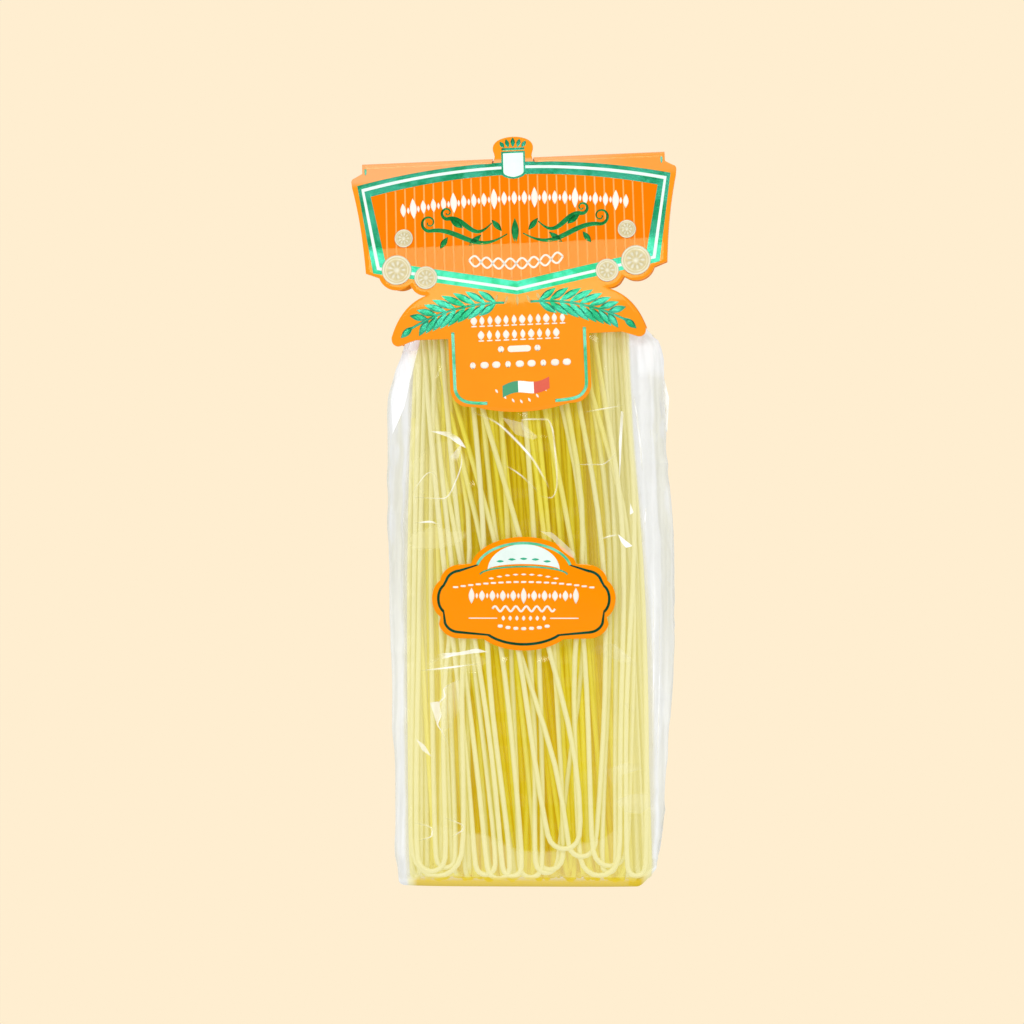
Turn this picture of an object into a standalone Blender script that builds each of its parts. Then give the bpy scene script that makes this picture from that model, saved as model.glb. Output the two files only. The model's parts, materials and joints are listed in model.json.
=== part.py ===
"""A clear gusseted film bag full of long hooked spaghetti, with a folded header card and a front label.

The bag stands on its flat base, its front faces -Y, and the origin is the centre of the base.
Strands of true thickness stand two thirds out of the filled bag's body, front and back, and reach
its outer surface. The card is one die-cut sheet folded over the bag's flattened neck, with a crest
tab that stays upright above the fold.
"""
import bisect
import math
import random

import bmesh
import bpy
from mathutils import Matrix, Vector

MM = 0.001

# Filled bag: height, half width, half depth, half distance between a side's two creases,
# depth of the gusset groove between them and sideways shift of the section, in mm
BAG_STATIONS = (
    (0.0, 49.6, 20.5, 15.5, 0.0, -0.6),
    (22.0, 51.0, 21.5, 14.0, 1.0, -0.3),
    (55.0, 52.6, 22.0, 12.0, 2.5, 0.4),
    (92.0, 53.9, 22.0, 10.0, 4.0, 0.8),
    (130.0, 54.3, 22.0, 9.0, 5.0, 0.2),
    (172.0, 52.9, 21.8, 8.0, 5.0, -1.0),
    (187.0, 52.6, 21.4, 7.5, 4.5, -1.2),
    (208.0, 48.4, 20.3, 6.5, 4.0, 1.2),
    (214.0, 44.8, 19.4, 6.0, 3.6, 0.4),
    (222.0, 39.8, 17.8, 5.0, 3.0, -2.4),
    (230.0, 35.0, 15.4, 4.2, 2.4, -5.0),
    (240.0, 33.6, 12.4, 3.2, 1.8, -6.0),
    (250.0, 33.4, 8.4, 2.2, 1.0, -6.3),
    (262.0, 33.2, 3.4, 1.2, 0.4, -6.6),
    (270.0, 33.0, 0.8, 0.5, 0.0, -6.7),
    (276.0, 33.0, 0.6, 0.4, 0.0, -6.7),
)
BASE_EDGE = 2.2 * MM
BASE_EDGE_SHARE = 0.3
FRONT_CORNER_POWER = 5.0
DEPTH_POWER = 1.6
LEAST_DEPTH_SHARE = 0.5
FRONT_STEPS = 18
RING_HEIGHTS = (12, 32, 55, 78, 104, 130, 152, 172, 187, 199, 208, 214, 222, 230, 240, 250, 261, 268, 276)

# Dry strands: round sticks hung over a rod to dry, so each is a long U with its bend at the bottom
STRAND_RADIUS = 1.0 * MM
STRAND_SIDES_RESOLUTION = 1
BUNDLE_HALF_WIDTH = 44.0 * MM
LEG_GROUPS = (6, 8, 4, 6, 4)
CORE_SINK = 1.3 * MM
FILM_MARGIN_RISE = 3.0 * MM
LEG_STEPS = 5
BEND_STEPS = 6
BEND_LOWEST = (2.0 * MM, 7.0 * MM)
STRAND_TOP = (211.0 * MM, 215.0 * MM)
LEG_SLANT = 5.0 * MM
LEG_JITTER = 0.25
STRAND_SEED = 11

# Header card, as seen from the front: half widths and drops below the fold, in mm
FOLD_HEIGHT = 280.0 * MM
FOLD_CENTRE_X = -6.7 * MM
CARD_TILT = math.radians(2.4)
CARD_THICKNESS = 0.5 * MM
FOLD_DROP = 1.7 * MM
FOLD_LINES = (-1.7, -0.9, 0.0, 0.9, 1.7)
BEND_DROPS = (17.0, 34.0, 43.0, 52.0, 61.0, 70.0, 84.0)
CARD_DEPTH_STATIONS = (
    (FOLD_DROP / MM, 1.1),
    (34.0, 14.9),
    (52.0, 19.2),
    (70.0, 21.6),
    (98.0, 23.0),
)
FOLD_HALF = 58.5
FOLD_CORNER_DROP = 3.4
SHOULDER_HALF = 62.8
SHOULDER_DROP = 6.6
SHOULDER_ROUND = 1.6
SIDE_START = (62.5, 8.8)
SIDE_ELBOW = (58.8, 24.0)
PANEL_BOTTOM = (57.8, 42.1)
MEDAL_LOBE = (45.9, 41.8, 7.2)
SMALL_LOBE = (35.2, 45.6, 5.8)
WAIST = (34.6, 51.4)
WING_ELBOW = (44.5, 54.5)
WING_TIP = (48.7, 67.0)
WING_TIP_RADIUS = 2.5
WING_TIP_CENTRE = (46.2, 68.0)
WING_FOOT = ((41.5, 69.0), (39.5, 68.4))
TONGUE_HALF = 27.0
TONGUE_TOP_DROP = 68.4
TONGUE_SIDE_DROP = 87.5
TONGUE_CORNER = (6.8, 7.2)
TONGUE_FOOT = (17.5, 94.9)
TONGUE_FOOT_ELBOW = 9.0
TONGUE_BOTTOM_DROP = 97.4

# Crest tab above the fold, in mm
CREST_HALF = 7.8
CREST_WAIST = 0.7
CREST_WAIST_SHARE = 0.55
CREST_HEAD_POWER = 2.4
CREST_TOP = 8.6
CREST_STEPS = 9
SLIT_WIDTH = 0.5

# Front label: centre, thickness, and the ellipses of its edge as centre x, centre height and radii in mm
LABEL_CENTRE = (-1.9 * MM, 113.2 * MM)
LABEL_THICKNESS = 0.3 * MM
LABEL_DOME = (0.0, 8.6, 20.6, 13.0)
LABEL_SHOULDER = (24.0, 3.8, 8.2, 7.2)
LABEL_LOBE = (29.0, -2.1, 6.2, 8.0)
LABEL_FOOT = (24.6, -10.2, 8.2, 7.2)
LABEL_BULGE = (0.0, -9.6, 20.0, 12.4)
LABEL_BEND_PITCH = 8.0
LABEL_BENDS = 4

GAP = 0.3 * MM
WELD = 0.01 * MM


def clear_scene():
    for obj in list(bpy.data.objects):
        bpy.data.objects.remove(obj, do_unlink=True)


def new_collection(name):
    collection = bpy.data.collections.new(name)
    bpy.context.scene.collection.children.link(collection)
    return collection


def make_material(name, colour, roughness, metallic=0.0, alpha=1.0):
    material = bpy.data.materials.new(name)
    material.use_nodes = True
    shader = material.node_tree.nodes["Principled BSDF"]
    shader.inputs["Base Color"].default_value = (*colour, 1.0)
    shader.inputs["Roughness"].default_value = roughness
    shader.inputs["Metallic"].default_value = metallic
    shader.inputs["Alpha"].default_value = alpha
    return material


def between(stations, where):
    """Values at one place along a table of stations, in a straight line from each to the next."""
    keys = [row[0] for row in stations]
    where = min(max(where, keys[0]), keys[-1])
    upper = min(max(bisect.bisect_right(keys, where), 1), len(keys) - 1)
    low, high = stations[upper - 1], stations[upper]
    share = (where - low[0]) / (high[0] - low[0])
    return [a + (b - a) * share for a, b in zip(low[1:], high[1:])]


def bag_section(height):
    """Half width, half depth, half crease distance, groove depth and shift at a height, in metres."""
    return [value * MM for value in between(BAG_STATIONS, height / MM)]


def face_depth(x, height, section=None):
    """Distance of the bag's front or back face from its middle plane."""
    half_width, half_depth, crease, _groove, shift = section or bag_section(height)
    across = min(abs(x - shift) / half_width, 1.0)
    crown = (1.0 - across ** FRONT_CORNER_POWER) ** (1.0 / DEPTH_POWER)
    return crease + (half_depth - crease) * crown


def core_depth(x, height, section):
    """Depth of the body's face: sunk behind the strands, and out at the loose film beside them."""
    beside = (abs(x) - BUNDLE_HALF_WIDTH) / FILM_MARGIN_RISE
    sunk = CORE_SINK * (1.0 - min(max(beside, 0.0), 1.0))
    depth = face_depth(x, height, section)
    return max(depth - sunk, LEAST_DEPTH_SHARE * depth)


def body_ring(height, inset):
    """One level section of the body: front face, gusset groove, back face, gusset groove."""
    half_width, half_depth, crease, groove, shift = bag_section(height)
    section = (half_width - inset, half_depth - inset, crease - inset, groove, shift)
    angles = [math.pi * (step / FRONT_STEPS - 0.5) for step in range(FRONT_STEPS + 1)]
    front = []
    for angle in angles:
        x = shift + section[0] * math.sin(angle)
        front.append((x, -core_depth(x, height, section)))
    groove_x = section[0] - groove
    ring = front + [(shift + groove_x, 0.0)]
    ring += [(2 * shift - x, -y) for x, y in front]
    ring.append((shift - groove_x, 0.0))
    return [Vector((x, y, height)) for x, y in ring]


def make_body():
    """The filled bag under its strands: a loft from the rectangular base to the flat neck."""
    low_step = BASE_EDGE_SHARE * BASE_EDGE
    rings = [body_ring(0.0, BASE_EDGE), body_ring(low_step, low_step), body_ring(BASE_EDGE, 0.0)]
    rings += [body_ring(height * MM, 0.0) for height in RING_HEIGHTS]
    mesh = bmesh.new()
    loops = [[mesh.verts.new(point) for point in ring] for ring in rings]
    for lower, upper in zip(loops, loops[1:]):
        for index in range(len(lower)):
            following = (index + 1) % len(lower)
            mesh.faces.new((lower[index], lower[following], upper[following], upper[index]))
    mesh.faces.new(reversed(loops[0]))
    mesh.faces.new(loops[-1])
    return finish_mesh("bag", mesh)


def finish_mesh(name, mesh):
    data = bpy.data.meshes.new(name)
    bmesh.ops.recalc_face_normals(mesh, faces=mesh.faces)
    mesh.to_mesh(data)
    mesh.free()
    return bpy.data.objects.new(name, data)


def evaluated_mesh(obj):
    """A new mesh of what an object's modifiers or its curve make."""
    return bpy.data.meshes.new_from_object(obj.evaluated_get(bpy.context.evaluated_depsgraph_get()))


def weld_caps(data):
    """Joins the loose caps of a tube to its sides."""
    mesh = bmesh.new()
    mesh.from_mesh(data)
    bmesh.ops.remove_doubles(mesh, verts=mesh.verts, dist=WELD)
    mesh.to_mesh(data)
    mesh.free()
    return data


def leg_points(start_x, end_x, top, low, face):
    """Points of one straight leg, from its top end down to its bend, just under a face of the bag."""
    points = []
    for step in range(LEG_STEPS):
        share = step / LEG_STEPS
        height = top + (low - top) * share
        x = start_x + (end_x - start_x) * share
        points.append(on_face(x, height, face))
    return points


def on_face(x, height, face):
    """Centre of a strand that touches the front (-1) or back (1) face from inside."""
    return Vector((x, face * (face_depth(x, height) - STRAND_RADIUS), height))


def bend_points(left_x, right_x, lowest, face):
    """Points of the half ellipse that joins two legs at the bottom."""
    middle = 0.5 * (left_x + right_x)
    reach = 0.5 * (right_x - left_x)
    points = []
    for step in range(BEND_STEPS + 1):
        angle = math.pi * step / BEND_STEPS
        x = middle - reach * math.cos(angle)
        points.append(on_face(x, lowest + reach * (1.0 - math.sin(angle)), face))
    return points


def strand_path(left_x, right_x, face, draw):
    """One long U: down the left leg, round the bend and up the right leg."""
    lowest = draw.uniform(*BEND_LOWEST)
    start = lowest + 0.5 * (right_x - left_x)
    tops = [draw.uniform(*STRAND_TOP) for _leg in range(2)]
    leans = [draw.uniform(-LEG_SLANT, LEG_SLANT) for _leg in range(2)]
    limit = BUNDLE_HALF_WIDTH - 2.0 * STRAND_RADIUS
    heads = [min(max(x + lean, -limit), limit) for x, lean in zip((left_x, right_x), leans)]
    path = leg_points(heads[0], left_x, tops[0], start, face)
    path += bend_points(left_x, right_x, lowest, face)
    path += reversed(leg_points(heads[1], right_x, tops[1], start, face))
    return path


def make_strand(path, collection):
    curve = bpy.data.curves.new("strand", "CURVE")
    curve.dimensions = "3D"
    curve.bevel_depth = STRAND_RADIUS
    curve.bevel_resolution = STRAND_SIDES_RESOLUTION
    curve.use_fill_caps = True
    spline = curve.splines.new("POLY")
    spline.points.add(len(path) - 1)
    for point, place in zip(spline.points, path):
        point.co = (*place, 1.0)
    tube = bpy.data.objects.new("strand_curve", curve)
    collection.objects.link(tube)
    strand = bpy.data.objects.new("strand", weld_caps(evaluated_mesh(tube)))
    strand.hide_render = True
    strand.display_type = "WIRE"
    collection.objects.link(strand)
    bpy.data.objects.remove(tube, do_unlink=True)
    bpy.data.curves.remove(curve)


def lay_strands(collection):
    """Strands on the front and the back: in each group of legs, the first half joins the second."""
    draw = random.Random(STRAND_SEED)
    pitch = 2.0 * BUNDLE_HALF_WIDTH / sum(LEG_GROUPS)
    for face in (-1, 1):
        places = []
        for leg in range(sum(LEG_GROUPS)):
            jitter = draw.uniform(-LEG_JITTER, LEG_JITTER) * pitch
            places.append((leg + 0.5) * pitch - BUNDLE_HALF_WIDTH + jitter)
        first = 0
        for size in LEG_GROUPS:
            for leg in range(first, first + size // 2):
                make_strand(strand_path(places[leg], places[leg + size // 2], face, draw), collection)
            first += size


def keep_largest_shell(data):
    """Drops loose scraps and the walls of sealed pockets, which are shells of their own."""
    mesh = bmesh.new()
    mesh.from_mesh(data)
    unseen = set(mesh.verts)
    shells = []
    while unseen:
        queue = [unseen.pop()]
        shell = list(queue)
        while queue:
            for edge in queue.pop().link_edges:
                for vert in edge.verts:
                    if vert in unseen:
                        unseen.remove(vert)
                        queue.append(vert)
                        shell.append(vert)
        shells.append(shell)
    shells.sort(key=len, reverse=True)
    for shell in shells[1:]:
        bmesh.ops.delete(mesh, geom=shell, context="VERTS")
    mesh.to_mesh(data)
    mesh.free()


def make_bag(collection):
    body = make_body()
    collection.objects.link(body)
    strands = new_collection("strands")
    lay_strands(strands)
    union = body.modifiers.new("strands", "BOOLEAN")
    union.operation = "UNION"
    union.operand_type = "COLLECTION"
    union.collection = strands
    union.solver = "MANIFOLD"
    data = evaluated_mesh(body)
    body.modifiers.clear()
    keep_largest_shell(data)
    body.data = data
    for strand in list(strands.objects):
        bpy.data.objects.remove(strand, do_unlink=True)
    bpy.data.collections.remove(strands)
    body.data.name = "bag"
    body.data.materials.clear()
    body.data.materials.append(make_material("pasta_in_film", (0.80, 0.66, 0.22), 0.45))
    body.data.set_sharp_from_angle(angle=math.radians(35.0))
    return body


def arc(centre, radii, start, end, steps):
    """Points of an elliptical arc between two angles in degrees, both ends included."""
    points = []
    for step in range(steps + 1):
        angle = math.radians(start + (end - start) * step / steps)
        points.append((centre[0] + radii[0] * math.cos(angle), centre[1] + radii[1] * math.sin(angle)))
    return points


def bow(start, elbow, end, steps):
    """Points of a quadratic curve from start to end that leans towards the elbow."""
    points = []
    for step in range(steps + 1):
        share = step / steps
        weights = ((1 - share) ** 2, 2 * share * (1 - share), share ** 2)
        corners = list(zip(weights, (start, elbow, end)))
        points.append(tuple(sum(weight * corner[axis] for weight, corner in corners) for axis in (0, 1)))
    return points


def card_edge():
    """Right edge of one panel as (half width, drop), from the fold down to the tongue's middle."""
    shoulder = (SHOULDER_HALF - SHOULDER_ROUND, SHOULDER_DROP)
    edge = [(FOLD_HALF, FOLD_CORNER_DROP)]
    edge += arc(shoulder, (SHOULDER_ROUND,) * 2, -80, 20, 3)
    edge += bow(SIDE_START, SIDE_ELBOW, PANEL_BOTTOM, 5)[1:]
    edge += arc(MEDAL_LOBE[:2], (MEDAL_LOBE[2],) * 2, 18, 138, 7)
    edge += arc(SMALL_LOBE[:2], (SMALL_LOBE[2],) * 2, 42, 96, 4)
    edge += bow(WAIST, WING_ELBOW, WING_TIP, 5)
    edge += arc(WING_TIP_CENTRE, (WING_TIP_RADIUS,) * 2, 0, 110, 4)
    edge += [*WING_FOOT, (TONGUE_HALF, TONGUE_TOP_DROP)]
    corner = (TONGUE_HALF - TONGUE_CORNER[0], TONGUE_SIDE_DROP)
    edge += arc(corner, TONGUE_CORNER, 0, 80, 4)
    edge += bow(TONGUE_FOOT, (TONGUE_FOOT_ELBOW, TONGUE_BOTTOM_DROP), (0.0, TONGUE_BOTTOM_DROP), 3)
    return edge


def crest_half_width(rise):
    """Half width of the crest tab at a rise above its foot: a waist, then a domed head."""
    foot = -FOLD_DROP / MM
    share = (rise - foot) / (CREST_TOP - foot)
    dome = max(0.0, (share - CREST_WAIST_SHARE) / (1.0 - CREST_WAIST_SHARE))
    head = math.sqrt(max(0.0, 1.0 - dome ** CREST_HEAD_POWER))
    waist = CREST_WAIST * math.sin(math.pi * min(share / CREST_WAIST_SHARE, 1.0)) ** 2
    return (CREST_HALF - waist) * head


def crest_edge(margin):
    """Right half of the crest tab's outline, foot to top, moved out by a margin."""
    foot = -FOLD_DROP / MM
    edge = []
    for step in range(CREST_STEPS):
        rise = foot + (CREST_TOP - foot) * math.sin(0.5 * math.pi * step / CREST_STEPS)
        edge.append((crest_half_width(rise) + margin, rise + margin * step / CREST_STEPS))
    return edge + [(0.0, CREST_TOP + margin)]


def mirrored(edge):
    """A closed outline from its right half, which runs from one end of the middle line to the other."""
    return edge + [(-x, y) for x, y in reversed(edge) if abs(x) > 1e-6]


def filled_sheet(loops, across, along):
    """A flat triangulated sheet from closed loops in mm, cut along lines where it will bend."""
    mesh = bmesh.new()
    for loop in loops:
        verts = [mesh.verts.new((x * MM, y * MM, 0.0)) for x, y in loop]
        for first, second in zip(verts, verts[1:] + verts[:1]):
            mesh.edges.new((first, second))
    bmesh.ops.triangle_fill(mesh, edges=mesh.edges, use_beauty=True)
    cuts = [((0.0, y * MM, 0.0), (0.0, 1.0, 0.0)) for y in across]
    cuts += [((x * MM, 0.0, 0.0), (1.0, 0.0, 0.0)) for x in along]
    for place, normal in cuts:
        everything = mesh.verts[:] + mesh.edges[:] + mesh.faces[:]
        bmesh.ops.bisect_plane(mesh, geom=everything, plane_co=place, plane_no=normal, dist=WELD)
    return mesh


def give_thickness(obj, thickness):
    wall = obj.modifiers.new("wall", "SOLIDIFY")
    wall.thickness = thickness
    wall.offset = 0.0
    wall.use_even_offset = True
    return obj


def card_depth(drop):
    """Distance of a panel's middle surface from the card's middle plane at a drop below the fold."""
    if drop < FOLD_DROP:
        share = 1.0 - drop / FOLD_DROP
        return CARD_DEPTH_STATIONS[0][1] * MM * math.sqrt(1.0 - share * share)
    return between(CARD_DEPTH_STATIONS, drop / MM)[0] * MM


def on_crest(x, rise):
    """Whether a point of the flat sheet lies on the crest tab, inside the slit round it."""
    inside = 0.5 * SLIT_WIDTH * MM
    if rise < -FOLD_DROP + WELD or rise > CREST_TOP * MM + inside:
        return False
    return abs(x) < crest_half_width(min(rise / MM, CREST_TOP)) * MM + inside


def make_header_card(collection):
    """One sheet: front panel, fold and back panel, with the crest tab cut free of the back panel."""
    edge = card_edge()
    front = [(x, -drop) for x, drop in edge]
    back = list(edge)
    right = [(FOLD_HALF, line) for line in FOLD_LINES[::2]]
    outline = mirrored(list(reversed(front)) + right + back)
    inner = mirrored(crest_edge(0.0))
    outer = mirrored(crest_edge(SLIT_WIDTH))
    slit = inner + list(reversed(outer))
    bends = [sign * drop for sign in (-1, 1) for drop in BEND_DROPS]
    mesh = filled_sheet((outline, slit), [*FOLD_LINES, *bends], ())
    first_bend = BEND_DROPS[0] * MM
    lean = (card_depth(first_bend) - card_depth(FOLD_DROP)) / (first_bend - FOLD_DROP)
    for vert in mesh.verts:
        x, along = vert.co.x, vert.co.y
        if on_crest(x, along):
            depth = -card_depth(FOLD_DROP) + lean * (along + FOLD_DROP)
            vert.co = (x, depth, along)
        else:
            side = 1.0 if along > 0.0 else -1.0
            vert.co = (x, side * card_depth(abs(along)), -abs(along))
    card = finish_mesh("header_card", mesh)
    turn = Matrix.Rotation(-CARD_TILT, 4, "Y")
    card.data.transform(Matrix.Translation((FOLD_CENTRE_X, 0.0, FOLD_HEIGHT)) @ turn)
    collection.objects.link(card)
    give_thickness(card, CARD_THICKNESS)
    card.data.materials.append(make_material("orange_card", (0.90, 0.22, 0.01), 0.35))
    return card


def label_edge():
    """Right half of the label's outline from its top middle to its bottom middle."""
    edge = arc(LABEL_DOME[:2], LABEL_DOME[2:], 90, 12, 6)
    edge += arc(LABEL_SHOULDER[:2], LABEL_SHOULDER[2:], 82, 14, 4)
    edge += arc(LABEL_LOBE[:2], LABEL_LOBE[2:], 62, -62, 6)
    edge += arc(LABEL_FOOT[:2], LABEL_FOOT[2:], -14, -82, 4)
    edge += arc(LABEL_BULGE[:2], LABEL_BULGE[2:], -40, -90, 5)
    edge[0] = (0.0, edge[0][1])
    edge[-1] = (0.0, edge[-1][1])
    return edge


def make_front_label(collection):
    """A die-cut label, bent to the bag's front and just clear of it."""
    bends = [LABEL_BEND_PITCH * step for step in range(-LABEL_BENDS, LABEL_BENDS + 1)]
    mesh = filled_sheet((mirrored(label_edge()),), (), bends)
    for vert in mesh.verts:
        x, height = LABEL_CENTRE[0] + vert.co.x, LABEL_CENTRE[1] + vert.co.y
        vert.co = (x, -face_depth(x, height) - GAP - 0.5 * LABEL_THICKNESS, height)
    label = finish_mesh("front_label", mesh)
    collection.objects.link(label)
    give_thickness(label, LABEL_THICKNESS)
    label.data.materials.append(make_material("orange_label", (0.90, 0.25, 0.01), 0.30))
    return label


def main():
    clear_scene()
    collection = new_collection("spaghetti_pack")
    make_bag(collection)
    make_header_card(collection)
    make_front_label(collection)


main()
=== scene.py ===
"""A clear gusseted bag of long hooked spaghetti with a folded header card and a front label.

Lengths are worked out in millimetres and turned to metres when a mesh is made. The front faces -Y.
"""
import json
import math

import bpy
import numpy as np
from bpy.props import FloatProperty, FloatVectorProperty, IntProperty, PointerProperty
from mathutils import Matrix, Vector

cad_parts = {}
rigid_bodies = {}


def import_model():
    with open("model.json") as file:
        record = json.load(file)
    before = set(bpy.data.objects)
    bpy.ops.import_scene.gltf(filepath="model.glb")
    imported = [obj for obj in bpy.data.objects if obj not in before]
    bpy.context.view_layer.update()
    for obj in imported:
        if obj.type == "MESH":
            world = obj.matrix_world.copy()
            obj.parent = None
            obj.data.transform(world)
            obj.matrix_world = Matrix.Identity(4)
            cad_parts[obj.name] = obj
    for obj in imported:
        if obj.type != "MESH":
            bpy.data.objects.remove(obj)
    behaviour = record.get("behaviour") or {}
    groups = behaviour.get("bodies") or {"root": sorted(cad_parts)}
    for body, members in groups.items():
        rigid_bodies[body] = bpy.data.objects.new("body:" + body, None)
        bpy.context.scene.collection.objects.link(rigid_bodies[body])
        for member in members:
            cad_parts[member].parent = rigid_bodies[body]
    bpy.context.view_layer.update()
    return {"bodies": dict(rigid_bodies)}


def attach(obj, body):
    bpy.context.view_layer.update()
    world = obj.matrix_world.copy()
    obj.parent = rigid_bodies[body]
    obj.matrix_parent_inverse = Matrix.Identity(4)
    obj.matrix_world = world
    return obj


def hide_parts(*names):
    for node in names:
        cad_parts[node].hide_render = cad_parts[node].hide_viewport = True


bl_info = {
    "name": "Spaghetti pack",
    "version": (1, 0, 0),
    "blender": (4, 5, 0),
    "location": "View3D > Sidebar > Pack",
    "description": "Builds a clear bag of long hooked spaghetti with its header card and label",
    "category": "Add Mesh",
}

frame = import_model()
BODY = next(iter(frame["bodies"]))
MM = 0.001

# Filled bag: height, half width, half depth, half distance between a side's two creases,
# depth of the gusset groove between them and sideways shift of the section
BAG_STATIONS = (
    (0, 49.6, 20.5, 15.5, 0, -0.6),
    (22, 51, 21.5, 14, 1, -0.3),
    (55, 52.6, 22, 12, 2.5, 0.4),
    (92, 53.9, 22, 10, 4, 0.8),
    (130, 54.3, 22, 9, 5, 0.2),
    (172, 52.9, 21.8, 8, 5, -1),
    (187, 52.6, 21.4, 7.5, 4.5, -1.2),
    (208, 48.4, 20.3, 6.5, 4, 1.2),
    (214, 44.8, 19.4, 6, 3.6, 0.4),
    (222, 39.8, 17.8, 5, 3, -2.4),
    (230, 35, 15.4, 4.2, 2.4, -5),
    (240, 33.6, 12.4, 3.2, 1.8, -6),
    (250, 33.4, 8.4, 2.2, 1, -6.3),
    (262, 33.2, 3.4, 1.2, 0.4, -6.6),
    (270, 33, 0.8, 0.5, 0, -6.7),
    (276, 33, 0.6, 0.4, 0, -6.7),
)
FRONT_CORNER_POWER = 5.0
DEPTH_POWER = 1.6
BAG_TOP = BAG_STATIONS[-1][0]
BASE_ROUND = 2.2

# Bundle: height, middle and half width, which leave film without strands behind it at both sides
BUNDLE_STATIONS = ((0, 0.4, 47), (60, 0.1, 47.2), (130, -1.8, 45.8), (170, -3.2, 43.2),
                   (210, -3.3, 41.4), (230, -3.3, 41))

# Long loops that lie at the front: lowest point, layer counted from the film, and the sideways
# places of the left and the right leg at five heights
FRONT_HEIGHTS = (16, 50, 85, 135, 210)
FRONT_LOOPS = (
    (14.4, 0, (8.5, 1.5, -2.5, -13.5, -36), (19.8, 19, 9, -3.3, -26)),
    (11.4, 1, (15, 11, -3, -13, -20), (25.4, 28.3, 29.5, 28, 14)),
    (5, 2, (2, 2.5, 1, -6, -14), (11.5, 15.5, 21, 21.5, 6)),
    (3.4, 0, (-45.8, -45, -44.5, -44, -42), (-25, -25, -26.5, -21.5, -41)),
    (5.4, 1, (-43.4, -43.5, -42.5, -42, -40), (-31.6, -33, -33, -24, -42.5)),
    (3.8, 1, (-10.6, -14, -19, -28, -43), (-2.6, -6, -9.4, -18.7, -38)),
    (6.2, 2, (2.4, -1, -5, -10, -18), (13.6, 12, 10, 6, -5)),
    (3.9, 0, (19, 18, 16.5, 22, 9), (35.2, 35, 36, 36.5, 24)),
    (7.6, 1, (24.2, 23, 22, 16, 0), (38, 39, 40, 39, 17)),
    (4, 0, (37.6, 37, 37.5, 41, 35.5), (45, 45.2, 44.6, 42.6, 38)),
    (4.4, 1, (-21, -24, -28, -34, -41), (-12.5, -17, -21, -27, -34)),
    (5.4, 2, (28, 29, 31, 31, 20), (33.5, 33, 33.5, 33, 28)),
    (7, 2, (-36, -37, -37.5, -38, -36), (-28, -29.5, -31, -31, -31)),
    (2.8, 0, (-16.5, -20.5, -25, -31, -39), (-7, -12, -16, -17, -24)),
    (3.2, 1, (-4, -5, -7, -8, -13), (5.2, 5, 4, 2, -4)),
)
FRONT_ROOM = 1.2

# Levels at which the strands' legs are worked out
LEVELS = np.linspace(4.0, 228.0, 23)

# Columns of loops inside the bundle: how many and over what width, the depths at which the first loop
# and the last one start, widths of the loops, and how much narrower a loop inside another is
LOOP_COLUMNS = 40
COLUMN_SPREAD = 90.0
COLUMN_DRIFT = 0.4
FIRST_START = -13.0
START_DRIFT = 1.5
LAST_START = 18.0
LOOP_WIDTHS = (8.5, 13.0)
LOOP_LIMIT = 20.5
LAST_LEG = 19.0
LEAST_WIDTH = 4.5
WIDTH_FOR_TWO = 7.5
INNER_LESS = (4.4, 5.4)
LOOP_PITCH = 2.1

# Lean of the legs as sideways travel for each millimetre of height, its mean and spread: of all loops,
# what the front adds, and of one leg by itself, sideways and in depth. Then the legs' bulge, where leans
# start and how they fade at the sides, the depth from which the front counts and over what distance, the
# loops' turn, their lowest points, and the legs' ends
LEAN = (-0.02, 0.02)
FRONT_LEAN = (-0.09, 0.035)
LEG_LEAN = 0.022
LEG_TILT = 0.012
LEG_BULGE = 1.2
LEAN_FOOT = 15.0
LEAN_HALF_WIDTH = 46.0
LEAN_FADE_POWER = 6
FRONT_FROM = 4.0
FRONT_OVER = 18.0
TURN_SPREAD = 24.0
LOWEST_BENDS = (1.3, 4.0)
STRAND_TOPS = (215.0, 225.0)
SHOULDER_HEIGHT = 180.0
TOP_CLEARANCE = 3.0

# Room of the strands inside the film, and how they are pushed apart
FILM_CLEARANCE = 0.5
LEAST_ROOM = 0.5
LAYER_PITCH = 1.05
TOUCHING = 1.02
FIRST_STIFFNESS = 60.0
STIFFNESS_LEFT = 0.02
HOLD_SHARE = 0.3
REACH_ABOVE_TOP = 12.0
SETTLE_ROUNDS = 110

# Shape of a strand: height where its bend's width is measured, drop of the bend over its half width,
# and the points along a leg, round a bend and round the strand
BEND_LEVEL = 12.0
BEND_SHAPE = 1.15
LEG_POINTS = 15
BEND_POINTS = 9
STRAND_SIDES = 8
END_ANGLE = math.radians(50.0)

# Depth of the strands as it colours them, a painted light and shade that turns them golden deeper in, more
# in the bundle's middle and most higher up under the card, and the share of their glow, a painted light,
# that is lost higher up and behind
SIDE_SHARE = 0.5
FAR_STEPS = (38.0, 10.0)
DEPTH_STEPS = (2.8, 12.5)
MIDDLE_TONE = 0.04
UPPER_TONE = 0.16
UPPER_STEPS = (90.0, 160.0)
TONE_SPREAD = 0.12
SEEP_LOST = 0.26
SEEP_STEPS = (60.0, 150.0)
SEEP_LOST_BEHIND = 0.4
BEHIND_STEPS = (0.0, 8.0)
INNER_TONES = (0.05, 0.5)
DEEP_TONES = (0.45, 1.0)
PASTA_MOTTLE = 0.3
OUTER_GLOW = (0.24, 0.205, 0.0)
INNER_GLOW = (0.285, 0.23, 0.0)
DEEP_GLOW = (0.31, 0.215, 0.0)
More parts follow.
